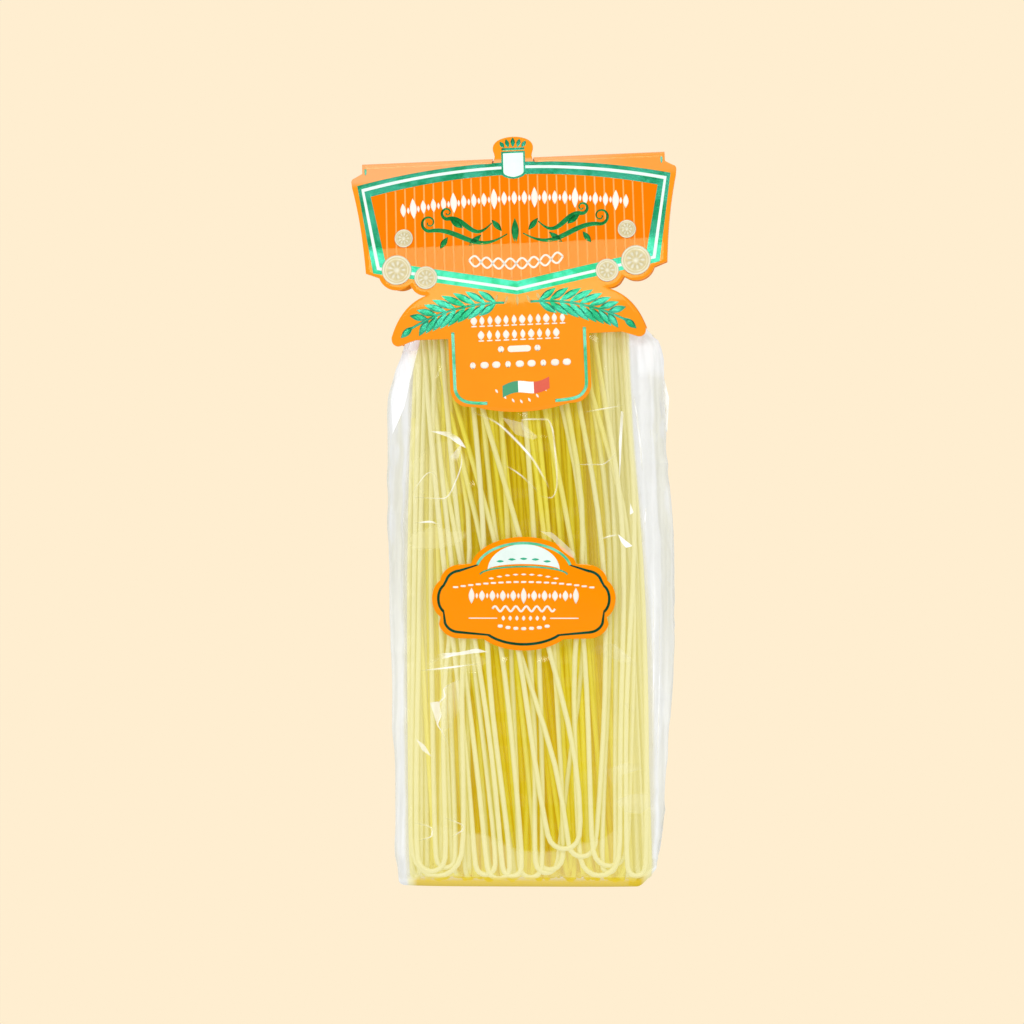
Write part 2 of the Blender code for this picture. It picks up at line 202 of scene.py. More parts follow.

# Creases of the film, whose ribs carry a painted highlight, as seen from the front: half width, then places
# across and up
CREASES = (
    (0.45, (-21, 182.5), (-12.5, 178.6), (-5.6, 172.5), (1.3, 164.8), (6, 157), (7.9, 153.2)),
    (0.35, (4, 150.5), (8.3, 149.8), (10.4, 152.4), (10.8, 158), (9.9, 169.4), (8.7, 177.1), (6, 179.8),
     (-2.5, 179.4), (-1.7, 175.6), (5, 173)),
    (0.30, (-9.4, 162.5), (-3.3, 158.6), (3.7, 152)),
    (0.25, (-47, 150), (-33.3, 149.4), (-27.9, 156.3), (-25.6, 164.8), (-29.4, 171.7)),
    (0.25, (-45.5, 150.4), (-40.2, 157.9), (-37.1, 159.4), (-33.3, 154)),
    (0.40, (-44, 140), (-37.9, 140.5), (-34.8, 139.4)),
    (0.35, (26.4, 133.4), (30.5, 134.9), (34.5, 135.7)),
    (0.35, (-41.8, 83.2), (-29.5, 84.7), (-18.7, 86.2)),
    (0.32, (-27, 79.8), (-31.2, 77.6), (-32.6, 75.8), (-32.2, 73.6), (-34.4, 70.6), (-33.6, 66.8),
     (-34.9, 62.8), (-33.4, 60), (-31.2, 55.6), (-28.8, 50.4)),
    (0.35, (-44, 24.6), (-37.9, 23.1), (-37.2, 20), (-42.5, 17.7)),
    (0.30, (-32.5, 27), (-24.8, 23.1), (-29.5, 19.3)),
    (0.30, (21, 182.5), (36, 185.2)),
    (0.25, (18.3, 162.5), (27.5, 162.5), (33.7, 167.1)),
    (0.30, (40, 190), (42, 176), (43.5, 160)),
    (0.30, (44.4, 139), (44.9, 146)),
    (0.25, (47.6, 118), (47.9, 84), (47.2, 52)),
    (0.25, (50.2, 108), (50, 74), (49.2, 46)),
)

# Creases: rise of their ridge, spread of their half widths, clearance from the film, points for each place,
# places of the points across, and least share, spread and size of the patches in their painted highlight
CREASE_RISE = 0.22
CREASE_SPREAD = 1.35
CREASE_CLEAR = 0.05
CREASE_POINTS = 12
CREASE_ACROSS = (-1.0, -0.45, 0.0, 0.45, 1.0)
CREASE_PATCHES = (0.55, 0.5, 4.0)
# Least share of the creases' painted white
CREASE_LEAST_WHITE = 0.08

# Painted reflections of the lights on the film at the front, as white patches: middle, half sizes, turn in
# degrees and share of white; then share and size of the noise in their outline, and the steps of their edge
SHEEN_PATCHES = (
    (-34.5, 134.2, 11.5, 3.4, 4, 0.26),
    (-34.5, 161, 10.5, 11.5, 0, 0.12),
    (-28, 86.5, 12, 3, 6, 0.18),
)
PATCH_WOBBLE = (0.35, 7.0)
PATCH_EDGE = (1.06, 0.94)

# Flat facets of the film whose white is a painted reflection of the lights: share of white, then corners
# across and up
FACETS = (
    (0.92, (-47.5, 212), (-53.6, 187.5), (-52.8, 174), (-50.6, 178.5), (-48, 184.5), (-46.3, 192),
     (-42.4, 208), (-42, 212)),
    (0.30, (-32.9, 76.6), (-26.8, 80.1), (-26.4, 69.3), (-29.8, 61.6), (-33.7, 60.1), (-34.5, 69.3)),
    (0.62, (-38, 70.9), (-34.6, 71.6), (-33.6, 66), (-35.2, 62), (-36.6, 67)),
    (0.34, (21.9, 90.1), (26.5, 93.2), (32.7, 93.9), (37.4, 89.8), (41.9, 85.5), (40.8, 84.7), (32.7, 87.8),
     (26.5, 89.7)),
    (0.28, (36.4, 71.2), (39.2, 70.8), (41.2, 67.6), (38.9, 67.2)),
    (0.38, (42.4, 84), (45.4, 83.2), (45, 81.6), (42.8, 82)),
    (0.24, (29.6, 45.4), (35.8, 47.7), (42.7, 48.1), (43.5, 45.6), (37.3, 43.9), (34.2, 41.6), (32.7, 39.3)),
    (0.22, (33.4, 33.4), (38, 35.8), (45.6, 36.2), (46.4, 31), (43, 28.4), (37, 29)),
    (0.90, (34.2, 135.8), (39.8, 131.2), (37.2, 130.6), (35.4, 132.8)),
    (0.30, (-10.2, 180.5), (-2.5, 178.5), (3.5, 173), (1.8, 172), (-5, 174)),
    (0.80, (35.3, 183), (36.3, 182.6), (35.6, 171), (34.8, 156.5), (34.5, 171)),
    (0.85, (38.9, 147.6), (40.2, 144), (38.7, 143.2)),
    (0.85, (-37.6, 175.2), (-30.2, 175), (-26.4, 172.6), (-23.8, 168.6), (-27.6, 170.6), (-31, 173.2)),
    (0.70, (-39.4, 85.6), (-34.4, 89.9), (-26.8, 90.5), (-20, 92), (-15.6, 90.7), (-20.6, 90.2),
     (-26.8, 89.3), (-34.5, 88.6)),
    (0.60, (-43.3, 56.9), (-40, 54.6), (-37.2, 50), (-41, 52.6)),
    (0.45, (-30, 165.5), (-28.2, 158), (-26.6, 166), (-25.4, 171)),
    (0.50, (49.6, 190.6), (52.2, 182), (50.6, 180)),
    (0.42, (46.4, 176), (49.8, 174), (48.8, 171), (46.6, 172.6)),
    (0.40, (4.5, 137), (9, 136.5), (12.5, 133.5), (17.8, 128.5), (17.2, 126.5), (13, 129.5),
     (9, 134)),
)

# Facets: rise above the film, rise above the label, share of white that shows, share from which one is
# whole, distance of the points along an edge, rings, and steps and size of the noise that fades them
FACET_RISE = 0.10
LABEL_STACK = 0.75
FACET_STRENGTH = 0.85
WHOLE_FACET = 0.88
FACET_POINT_GAP = 0.9
FACET_RINGS = 6
FACET_FADE = (-0.55, 0.25)
FACET_BLOTCH = 7.0

# Upper edge of the pale band over the folded foot, a painted reflection, seen from the front: places across
# and up
LOW_BAND = ((-60, 30), (-46, 27), (-26.8, 21.6), (-16.4, 20), (-4.4, 14.2), (6.4, 13.5),
            (28.7, 18.9), (33.7, 23.1), (46, 30), (60, 33))

# Film: rows of points up the bag, points along a face and a gusset, rings of an end, and the drawn-up
# corner of the base
FILM_ROWS = 246
FACE_STEPS = 140
GUSSET_STEPS = 20
END_RINGS = 10
CORNER_LIFT = 6.0
CORNER_PLACES = (41.5, 50.0)
CORNER_HEIGHTS = (14.0, 0.0)

# Wrinkles: sizes and shares of long folds, crumple and fine noise, how much longer folds run down the bag,
# depth of the valleys beside a ridge, and the calm places: base, neck, card, its tongue and the label
WRINKLE_SIZES = (19.0, 9.0, 4.5)
WRINKLE_SHARES = (0.75, 0.35, 0.10)
FOLD_STRETCH = 0.45
RIDGE_DEPTH = 2.2
CALM_BASE = (0.0, 14.0)
CALM_NECK = (BAG_TOP, 255.0)
CALM_CARD_PLACES = (70.0, 60.0)
CALM_CARD_DROPS = (100.0, 92.0)
CALM_TONGUE_PLACES = (33.0, 28.0)
CALM_TONGUE_DROP = 72.0
LABEL_REACH = (39.0, 26.0)

# Milkiness of the film: beside the strands and how much less of it higher up and in the gussets, towards
# the bundle's sides, at the shoulders and the neck; then the white of painted reflections in the low band
# and at the foot; and milkiness on the base
BESIDE_HAZE = 0.76
BESIDE_LESS_HIGH = 0.16
HIGH_STEPS = (70.0, 150.0)
GUSSET_LESS = 0.6
FLANK_HAZE = 0.30
FLANK_PLACES = (18.0, 44.0)
FLANK_HEIGHTS = (0.0, 40.0)
SHOULDER_HAZE = 0.8
SHOULDER_PLACES = (2.0, 4.0)
SHOULDER_HEIGHTS = (186.0, 200.0)
NECK_HAZE = 0.6
NECK_HEIGHTS = (211.0, 216.0)
BAND_SHEEN = 0.26
BAND_EDGE = 0.6
FOOT_SHEEN = 0.88
FOOT_HEIGHTS = (4.0, 2.8)
FOOT_PLACES = (47.0, 38.0)
FOOT_DEPTH = 10.0
BUNDLE_EDGE = 1.5
BASE_HAZE = 0.6

# How much of the strands' gold is painted on the film's white, for their light seen through it: over the
# bundle, what the foot adds as a painted reflection of the strands, and on the base
BUNDLE_WARM = 0.4
FOOT_WARM = 0.6
BASE_WARM = 0.9
GLINT_LESS_WARM = 0.6

# Header card as seen from the front: half widths and drops below the fold
FOLD_HEIGHT = 280.0
FOLD_CENTRE_X = -6.7
CARD_TILT = math.radians(2.4)
CARD_THICKNESS = 0.5
FOLD_DROP = 1.7
CARD_DEPTHS = ((1.7, 1.1), (32.4, 14.2), (52.0, 19.2), (70.0, 21.6), (98.0, 23.0))
FOLD_HALF = 58.5
FOLD_CORNER_DROP = 3.4
SHOULDER = (61.2, 6.6, 1.6)
SIDE_BOW = ((62.5, 8.8), (58.8, 24.0), (57.8, 42.1))
MEDAL_LOBE = (45.9, 41.8, 7.2)
SMALL_LOBE = (35.2, 45.6, 5.8)
WING_BOW = ((34.6, 51.4), (44.5, 54.5), (48.7, 67.0))
WING_TIP = (46.2, 68.0, 2.5)
WING_FOOT = ((41.5, 69.0), (39.5, 68.4), (27.0, 68.4))
TONGUE_CORNER = (20.2, 87.5, 6.8, 7.2)
TONGUE_BOW = ((17.5, 94.9), (9.0, 97.4), (0.0, 97.4))
CREST_HALF = 7.8
CREST_WAIST = 0.7
CREST_WAIST_SHARE = 0.55
CREST_HEAD_POWER = 2.4
CREST_TOP = 8.6
SLIT_WIDTH = 0.5
BELOW_SLIT = 1.6
SLOPE_DROP = 17.0
CARD_SURFACE = 0.5 * CARD_THICKNESS

# Card frame: its corner, its foot, its lowest point and its crown, and how far each moves in for a
# millimetre of inset; then the numbers of the corner's, the crease's and the foot's points along it
FRAME_CORNER_PLACE = ((60.5, 8.0), (-1.05, 0.9))
FRAME_FOOT_PLACE = ((55.0, 42.1), (-1.0, -0.85))
FRAME_TIP = (52.5, -1.05)
FRAME_CROWN = 1.2
FRAME_CORNER = 23
FRAME_BEND = 35
FRAME_FOOT = 41

# Card print in the frame: insets of its bands and its field, then pinstripes
FOIL_BANDS = ((0.0, 1.5), (2.6, 4.9))
PALE_BAND = (1.5, 2.6)
FIELD_INSET = 0.8
STRIPE_COUNT = 28
STRIPE_PITCH = 3.66
STRIPE_HALF_WIDTH = 0.3
STRIPE_GAP = 0.2

# Bowed row of pointed marks: pitch, drop, sag and lean at a distance from the middle, places of the tall
# marks, and length and width of tall, low and small marks
TITLE_LAST = 11
TITLE_PITCH = 3.9
TITLE_DROP = 15.2
TITLE_SAG = 4.2
TITLE_LEAN = 4.0
TITLE_HALF = 50.0
TALL_PLACES = (2, 6, 10)
TALL_MARK = (8.0, 2.6)
LOW_MARK = (5.4, 2.1)
SMALL_MARK = (2.6, 1.0)

# Scrolls: start, radius of the curl, its turns and length of the wave before it; then the leaves beside
# them: place, length and turn
SCROLLS = (((3.0, 29.0), 3.2, 1.3, 30.0), ((9.0, 24.6), 2.4, 1.2, 17.0))
SCROLL_LEAVES = ((7.0, 25.6, 6.0, -50), (15.5, 31.0, 6.5, 40), (22.5, 24.4, 6.0, -35), (27.5, 31.5, 5.4, 55))
SCROLL_LEAF_WIDTH = 2.2
MIDDLE_LEAF = (0.0, 28.0, 10.0, 2.8, 90)

# Twist of two waves: length, drop, height of a wave and sag of the whole, and half width of its line
TWIST_LENGTH = 36.0
TWIST_DROP = 40.6
TWIST_HEIGHT = 2.0
TWIST_LINE = 0.38

# Marks below the frame: leaves of tan ink, rows of marks with a bar under each as drop, span, height and
# count, then a row of three bars, a row of nine and a bowed row of leaves
TAN_LEAVES = ((4.2, 54.2, 3.4), (8.0, 53.4, 2.8))
TAN_MIDDLE = (0.0, 54.6, 4.4, 1.1, 90)
TONGUE_ROWS = ((62.0, 37.0, 3.7, 12), (67.6, 32.0, 3.7, 10))
TONGUE_MARK_WIDTHS = (2.5, 1.9, 1.9)
TONGUE_BARS = ((0.0, 73.2, 9.0, 2.4), (7.0, 73.2, 2.4, 2.4), (-7.0, 73.2, 2.4, 2.4))
TONGUE_LAST_ROW = (79.0, 4.5, 9)
TONGUE_LAST_WIDTHS = (2.2, 3.2, 3.2)
FOLD_TICK = (57.2, 2.3, 0.9, 3.4)

# Foil line along the tongue: straight side, corner and end
TONGUE_LINE_SIDE = ((25.2, 66.0), (25.2, 87.0))
TONGUE_LINE_CORNER = (19.2, 87.0, 6.0, 6.0)
TONGUE_LINE_END = ((21.0, 92.7), (19.0, 93.4), (13.0, 93.6))

# Sprays on the wings: stem, first point and pitch of the leaves along it, the leaves, and the last leaf
SPRAY_STEM = ((5.0, 55.4), (25.0, 54.6), (42.0, 64.4))
SPRAY_LEAVES = 8
SPRAY_LEAF = (10.4, 2.7)
SPRAY_ANGLE = 35.0
SPRAY_END = (42.8, 65.2, 6.4, 2.6, 42)

# Crest: bar, middle leaf and the leaves beside it; then the shield's half width, its top, the end of its
# straight sides, the elbow of its curved sides, its point, and the width of its rim
CREST_BAR = (0.0, -3.9, 9.0, 1.0)
CREST_LEAF = (0.0, -6.5, 3.8, 1.7, 90)
CREST_SIDE_LEAVES = ((2.2, -6.2, 3.5, 1.6, 106), (4.2, -5.7, 3.0, 1.6, 124))
SHIELD_HALF = 4.6
SHIELD_TOP = -3.0
SHIELD_LEVELS = (5.6, 7.2, 7.8)
SHIELD_RIM = 0.7

# Discs: place and radius, and the height of their relief, lift and thickness
MEDALS = ((42.9, 29.1, 3.5), (45.9, 41.2, 5.7), (34.8, 44.6, 4.4))
MEDAL_RELIEF = 0.24
MEDAL_LIFT = 0.10
MEDAL_THICKNESS = 0.12

# Ribbon: middle, length, half height, slope and wave; its inks from left to right
RIBBON_MIDDLE = (2.0, 88.0)
RIBBON_LENGTH = 18.0
RIBBON_HALF_HEIGHT = 2.2
RIBBON_SLOPE = 0.16
RIBBON_WAVE = 0.9
RIBBON_INKS = (("green", (0.05, 0.33, 0.16)), ("white", (0.95, 0.93, 0.88)), ("red", (0.72, 0.10, 0.05)))

# Inks and foils of the print, and how far each kind lies above the sheet
BRIGHT_FOIL = (0.22, 0.82, 0.56)
SCRIPT_FOIL = (0.02, 0.36, 0.10)
RULE_FOIL = (0.003, 0.11, 0.06)
FRAME_INK = (0.74, 0.85, 0.79)
STRIPE_INK = (0.97, 0.37, 0.07)
TAN_INK = (0.62, 0.42, 0.12)
SHIELD_INK = (0.74, 0.90, 0.80)
BRIGHT_METALLIC = 0.6
FIELD_LIFT = 0.01
STRIPE_LIFT = 0.02
TAN_LIFT = 0.026
INK_LIFT = 0.032
FOIL_LIFT = 0.038
TOP_INK_LIFT = 0.05
TOP_FOIL_LIFT = 0.06

# Front label: centre on the bag, and the ellipses of its edge as centre and radii
LABEL_CENTRE = (-1.9, 113.2)
LABEL_THICKNESS = 0.3
LABEL_GAP = 0.3
LABEL_DOME = (0.0, 8.6, 20.6, 13.0)
LABEL_SHOULDER = (24.0, 3.8, 8.2, 7.2)
LABEL_LOBE = (29.0, -2.1, 6.2, 8.0)
LABEL_FOOT = (24.6, -10.2, 8.2, 7.2)
LABEL_BULGE = (0.0, -9.6, 20.0, 12.4)
LABEL_SURFACE = 0.5 * LABEL_THICKNESS

# Label print: insets of its rule, middle and radii of the pale dome, the arc under it and half its width,
# steps of the outline's dome, and lifts of foils and inks above the label
RULE_INSETS = (1.9, 2.9)
MOON_MIDDLE = (0.0, 8.8)
MOON_RADII = (13.8, 10.0, 2.4)
UNDER_DOME = (0.0, 7.0, 16.8, 3.2)
UNDER_HALF_WIDTH = 0.3
DOME_STEPS = 16
LABEL_FOIL_LIFT = 0.04
LABEL_INK_LIFT = 0.02

# Rows of the label's marks, each about the middle line: kind, count, pitch, height above the middle, sag
# over the square of the distance, then the mark's size and, for a leaf, its turn
DOME_ROW = ("leaf", 5, 4.5, 13.2, 0.012, 3.0, 0.9, 0)
UPPER_ROWS = (
    ("leaf", 9, 3.1, 7.2, 0.01, 2.2, 0.7, 0),
    ("bar", 19, 2.9, 4.3, 0.003, 2.1, 0.7),
)
LARGE_ROW = (-1.0, 4.0, 11)
LARGE_MARKS = ((6.2, 2.2, 90), (4.2, 2.2, 90), (2.2, 0.9, 90))
LABEL_WAVE = (12.0, -6.0, 1.0, 0.4)
LEAF_ROW = ("leaf", 7, 2.6, -9.6, 0.0, 2.0, 1.3, 90)
SIDE_BAR = (15.6, -9.6, 11.0, 0.4)
LAST_ROW = ("bar", 7, 3.0, -13.6, -0.012, 2.0, 1.2)

PRINT_THICKNESS = 0.04

# Colours of the film's streaks, dull and bright, of its painted glints, and the strands' gold painted on
# film over strands and at the foot
FILM_STREAKS = ((0.77, 0.78, 0.78), (0.88, 0.89, 0.90))
GLINT_STREAKS = ((0.96, 0.97, 0.97), (0.99, 0.99, 0.99))
FILM_OVER_STRANDS = (0.83, 0.77, 0.42)
FILM_AT_FOOT = (0.70, 0.50, 0.03)
WARM_MIDDLE = 0.4
WARM_MOST = 0.7

# Gloss of card and label, its tint, and the card's paler band, a painted highlight at the fold: colour,
# drops and places where it fades
CARD_GLOSS = 0.21
LABEL_GLOSS = 0.15
GLOSS_TINT = (1.0, 1.0, 0.5)
FOLD_HIGHLIGHT = (0.87, 0.36, 0.135)
PALE_DROPS = (0.009, 0.006)
PALE_LENGTHS = (0.042, 0.012)
PALE_LEAST = 0.3

# Stage, in metres: the sky's light and how much of it is mirrored, and the sweep's grey behind film
SKY_LIGHT = 0.85
SKY_MIRRORED = 0.2
FILM_BACKING = 0.76
UNSEEN_SWEEP = 0.92
SWEEP_FRONT = -2.2
SWEEP_BACK = 1.2
SWEEP_RADIUS = 0.6
SWEEP_TOP = 2.6
SWEEP_HALF_WIDTH = 2.5

# Soft lights, which face the pack's middle: name, place, size and power
LIGHT_TARGET = (0.0, 0.0, 0.14)
SOFT_LIGHTS = (
    ("front_soft", (-0.06, -1.5, 0.94), (0.6, 0.42), 6.3),
    ("top_soft", (0.0, -0.1, 1.5), (0.8, 0.5), 3.0),
    ("left_soft", (-1.1, -0.7, 0.35), (0.35, 0.9), 3.0),
    ("right_soft", (1.1, -0.6, 0.35), (0.35, 0.9), 3.0),
)

# Camera: distance from the picture's centre, directions, and the picture's width and centre there
CAMERA_DISTANCE = 2.0
CAMERA_AZIMUTH = math.radians(2.0)
CAMERA_ELEVATION = math.radians(2.0)
SENSOR_WIDTH = 36.0
PICTURE_WIDTH = 0.3922
PICTURE_CENTRE = (-0.0064, -0.022, 0.1443)


def colour_setting(name, words, colour):
    """A colour that a user can change."""
    return FloatVectorProperty(name=name, description=words, subtype="COLOR", size=3, default=colour)


class PackSettings(bpy.types.PropertyGroup):
    """Sizes and colours of the pack that a user would change."""

    strand_diameter: FloatProperty(name="Strand diameter", description="Thickness of one strand",
                                   default=0.002, min=0.001, unit="LENGTH")
    strand_count: IntProperty(name="Strands", description="Number of long U shaped strands",
                              default=236, min=20)
    strand_seed: IntProperty(name="Strand seed", description="Seed of the strands' places", default=7)
    pasta_colour: colour_setting("Pasta", "Colour of the dry pasta", (0.56, 0.535, 0.33))
    # Painted light and shade: strands deeper in the bundle get the inner and then the deep colour, which
    # stand for the light that reaches them through other strands
    inner_colour: colour_setting("Inner pasta", "Colour of strands a little way in", (0.55, 0.49, 0.05))
    deep_colour: colour_setting("Deep pasta", "Colour of strands deep in the bundle", (0.46, 0.37, 0.001))
    film_haze: FloatProperty(name="Film haze", description="Milkiness of the film over the strands",
                             default=0.004, min=0.0, max=1.0, subtype="FACTOR")
    film_crumple: FloatProperty(name="Film crumple", description="Height of the film's wrinkles",
                                default=0.0011, min=0.0, unit="LENGTH")
    card_colour: colour_setting("Card", "Orange of the card", (0.87, 0.272, 0.012))
    field_colour: colour_setting("Card field", "Deeper orange inside the card's frame", (0.82, 0.18, 0.0005))
    label_colour: colour_setting("Label", "Orange of the label", (0.88, 0.252, 0.0005))
    foil_colour: colour_setting("Foil", "Green of the foil print", (0.07, 0.61, 0.37))
    ink_colour: colour_setting("Ink", "Pale printing ink", (0.88, 0.81, 0.70))
    gold_colour: colour_setting("Gold", "Pale gold of the discs", (0.74, 0.70, 0.53))
    backdrop_colour: colour_setting("Backdrop", "Colour of the sweep behind the pack", (1.0, 0.855, 0.631))


# Numbers and curves


def eased(stations, where):
    """Columns of a table at the places asked for: a cubic Hermite piece between each two rows, whose
    slope at a row is the mean of the chords beside it, and 0 where the column turns back there."""
    table = np.array(stations, float)
    keys, values = table[:, 0], table[:, 1:]
    chords = np.diff(values, axis=0) / np.diff(keys)[:, None]
    slopes = np.vstack((chords[:1], 0.5 * (chords[:-1] + chords[1:]), chords[-1:]))
    slopes[1:-1][chords[:-1] * chords[1:] <= 0.0] = 0.0
    where = np.clip(np.asarray(where, float), keys[0], keys[-1])
    low = np.clip(np.searchsorted(keys, where, side="right") - 1, 0, len(keys) - 2)
    span = (keys[low + 1] - keys[low])[..., None]
    t = (where - keys[low])[..., None] / span
    rise = t * t * (3.0 - 2.0 * t)
    bent = t * (1.0 - t) ** 2 * slopes[low] - t * t * (1.0 - t) * slopes[low + 1]
    return (1.0 - rise) * values[low] + rise * values[low + 1] + span * bent


def smooth_step(low, high, value):
    """0 below low, 1 above high and 3t^2 - 2t^3 between them."""
    t = np.clip((np.asarray(value, float) - low) / (high - low), 0.0, 1.0)
    return t * t * (3.0 - 2.0 * t)


def solid_noise(points, size, seed):
    """Noise from -1 to 1 in space: random values on a cubic lattice, eased by 3t^2 - 2t^3 between them."""
    lattice = np.random.default_rng(seed).uniform(-1.0, 1.0, (16, 16, 16))
    scaled = np.asarray(points, float) / size
    cell = np.floor(scaled)
    t = scaled - cell
    t = t * t * (3.0 - 2.0 * t)
    total = 0.0
    for corner in np.ndindex(2, 2, 2):
        index = (cell.astype(int) + corner) % 16
        weight = np.prod(np.where(np.array(corner, bool), t, 1.0 - t), axis=-1)
        total = total + weight * lattice[index[..., 0], index[..., 1], index[..., 2]]
    return total


def face_depth(x, height):
    """Distance of the bag's front or back from its middle plane: c + (b - c)(1 - |x - s|^5 / a^5)^(1/1.6)."""
    half_width, half_depth, crease, _groove, shift = np.moveaxis(eased(BAG_STATIONS, height), -1, 0)
    across = np.clip(np.abs(x - shift) / half_width, 0.0, 1.0)
    crown = (1.0 - across ** FRONT_CORNER_POWER) ** (1.0 / DEPTH_POWER)
    return crease + (half_depth - crease) * crown


def arc(centre_x, centre_y, radius_x, radius_y, start, end, steps=12):
    """Points of an elliptical arc between two angles in degrees."""
    angle = np.radians(np.linspace(start, end, steps + 1))
    return np.column_stack((centre_x + radius_x * np.cos(angle), centre_y + radius_y * np.sin(angle)))


def bow(start, elbow, end, steps=12):
    """Points of the quadratic curve (1-t)^2 start + 2t(1-t) elbow + t^2 end."""
    t = np.linspace(0.0, 1.0, steps + 1)[:, None]
    return (1 - t) ** 2 * np.array(start) + 2 * t * (1 - t) * np.array(elbow) + t * t * np.array(end)


def straight(start, end, steps=12):
    """Evenly spaced points from start to end."""
    return np.linspace(np.array(start, float), np.array(end, float), steps + 1)


def chain(*runs):
    """One line through several runs of points, without points that repeat the one before."""
    points = np.vstack([np.atleast_2d(np.array(run, float)) for run in runs])
    step = np.hypot(*np.diff(points, axis=0).T)
    return points[np.concatenate(([True], step > 1e-6))]


def mirrored(half):
    """A closed loop from its right half, whose first and last points lie on the middle line."""
    return np.vstack((half, half[-2:0:-1] * (-1.0, 1.0)))


def along_line(line, spacing):
    """The same line with points at an even spacing of its length."""
    length = np.concatenate(([0.0], np.cumsum(np.hypot(*np.diff(line, axis=0).T))))
    places = np.linspace(0.0, length[-1], max(2, int(round(length[-1] / spacing)) + 1))
    return np.column_stack([np.interp(places, length, line[:, axis]) for axis in (0, 1)])


# Meshes


def grid_faces(rows, columns, closed=False, first=0):
    """Quads of a grid whose points run row by row; closed joins the last column to the first."""
    row = np.arange(rows - 1)[:, None]
    column = np.arange(columns if closed else columns - 1)[None, :]
    after = (column + 1) % columns
    low, high = row * columns, (row + 1) * columns
    quads = np.stack((low + column, low + after, high + after, high + column), axis=-1)
    return quads.reshape(-1, 4) + first


def fan_faces(centre, ring):
    """Triangles from one point to each two neighbours of a closed ring, in the ring's order."""
    ring = np.asarray(ring)
    return np.column_stack((np.full(len(ring), centre), ring, np.roll(ring, -1)))


def new_piece(name, points, faces):
    """A smooth mesh object from points in millimetres and a list of face arrays."""
    mesh = bpy.data.meshes.new(name)
    mesh.vertices.add(len(points))
    mesh.vertices.foreach_set("co", (np.asarray(points, float) * MM).ravel())
    corners = np.concatenate([part.ravel() for part in faces]).astype(np.int32)
    sizes = np.concatenate([np.full(len(part), part.shape[1]) for part in faces])
    mesh.loops.add(len(corners))
    mesh.loops.foreach_set("vertex_index", corners)
    mesh.polygons.add(len(sizes))
    mesh.polygons.foreach_set("loop_start", np.concatenate(([0], np.cumsum(sizes)[:-1])).astype(np.int32))
    mesh.polygons.foreach_set("use_smooth", np.full(len(sizes), True))
    mesh.update(calc_edges=True)
    mesh.validate()
    piece = bpy.data.objects.new(name, mesh)
    bpy.context.scene.collection.objects.link(piece)
    return piece


def give_values(piece, name, values):
    """Puts one number for each point of a piece into a named attribute."""
    attribute = piece.data.attributes.new(name, "FLOAT", "POINT")
    attribute.data.foreach_set("value", np.asarray(values, np.float32).ravel())


def polar_patch(edge, centre, rings):
    """A flat patch inside a closed loop: point(t, s) = centre + t (edge(s) - centre)."""
    centre = np.array(centre, float)
    share = np.linspace(0.0, 1.0, rings + 1)[1:, None, None]
    points = centre + share * (edge[None] - centre)
    points = np.vstack((centre[None], points.reshape(-1, 2)))
    count = len(edge)
    faces = [fan_faces(0, np.arange(1, count + 1)), grid_faces(rings, count, True, 1)[:, ::-1]]
    return points, faces


def ruled_patch(first, second, steps):
    """A flat patch between two lines of equal count: point(t, s) = (1 - t) first(s) + t second(s)."""
    t = np.linspace(0.0, 1.0, steps + 1)[None, :, None]
    points = (1.0 - t) * first[:, None] + t * second[:, None]
    return points.reshape(-1, 2), [grid_faces(len(first), steps + 1)]


def ribbon_patch(line, half_width):
    """A flat band along a line: point(t, s) = line(s) + t w(s) normal(s), for t from -1 to 1."""
    slope = np.gradient(line, axis=0)
    slope /= np.maximum(np.hypot(*slope.T), 1e-9)[:, None]
    normal = np.column_stack((-slope[:, 1], slope[:, 0]))
    reach = np.broadcast_to(np.asarray(half_width, float), (len(line),))[:, None]
    return ruled_patch(line - reach * normal, line + reach * normal, 2)


def facing(points, faces):
    """The same faces, each turned so that its area on the flat sheet is positive."""
    turned = []
    for part in faces:
        x, y = points[part, 0], points[part, 1]
        area = (x * np.roll(y, -1, axis=1) - np.roll(x, -1, axis=1) * y).sum(axis=1)
        turned.append(np.where(area[:, None] < 0.0, part[:, ::-1], part))
    return turned


def turned_over(faces):
    """The same faces seen from their other side."""
    return [part[:, ::-1] for part in faces]


def stack_patches(patches):
    """Several patches as one array of points and one list of faces, all turned the same way."""
    points, faces, first = [], [], 0
    for patch_points, patch_faces in patches:
        points.append(patch_points)
        faces += [part + first for part in facing(patch_points, patch_faces)]
        first += len(patch_points)
    return np.vstack(points), faces


def make_sheet(name, parts, thickness, weld=True):
    """One thin closed sheet from placed patches, given as (points in space, faces); seams are welded when
    weld is true.
    """
    points = np.vstack([part[0] for part in parts])
    starts = np.cumsum([0] + [len(part[0]) for part in parts[:-1]])
    faces = [array + start for part, start in zip(parts, starts) for array in part[1]]
    piece = new_piece(name, points, faces)
    if weld:
        joint = piece.modifiers.new("weld", "WELD")
        joint.merge_threshold = 0.00002
    wall = piece.modifiers.new("wall", "SOLIDIFY")
    wall.thickness = thickness * MM
    wall.offset = 0.0
    wall.use_even_offset = True
    piece.modifiers.new("edges", "WEIGHTED_NORMAL").weight = 100
    return piece


# Materials


# Places of a colour mix's factor and two colours among the inputs of a Mix node
MIX_COLOUR_INPUTS = (0, 6, 7)


def new_material(name):
    """An empty node material and its tree."""
    material = bpy.data.materials.new(name)
    material.use_nodes = True
    material.node_tree.nodes.clear()
    return material, material.node_tree


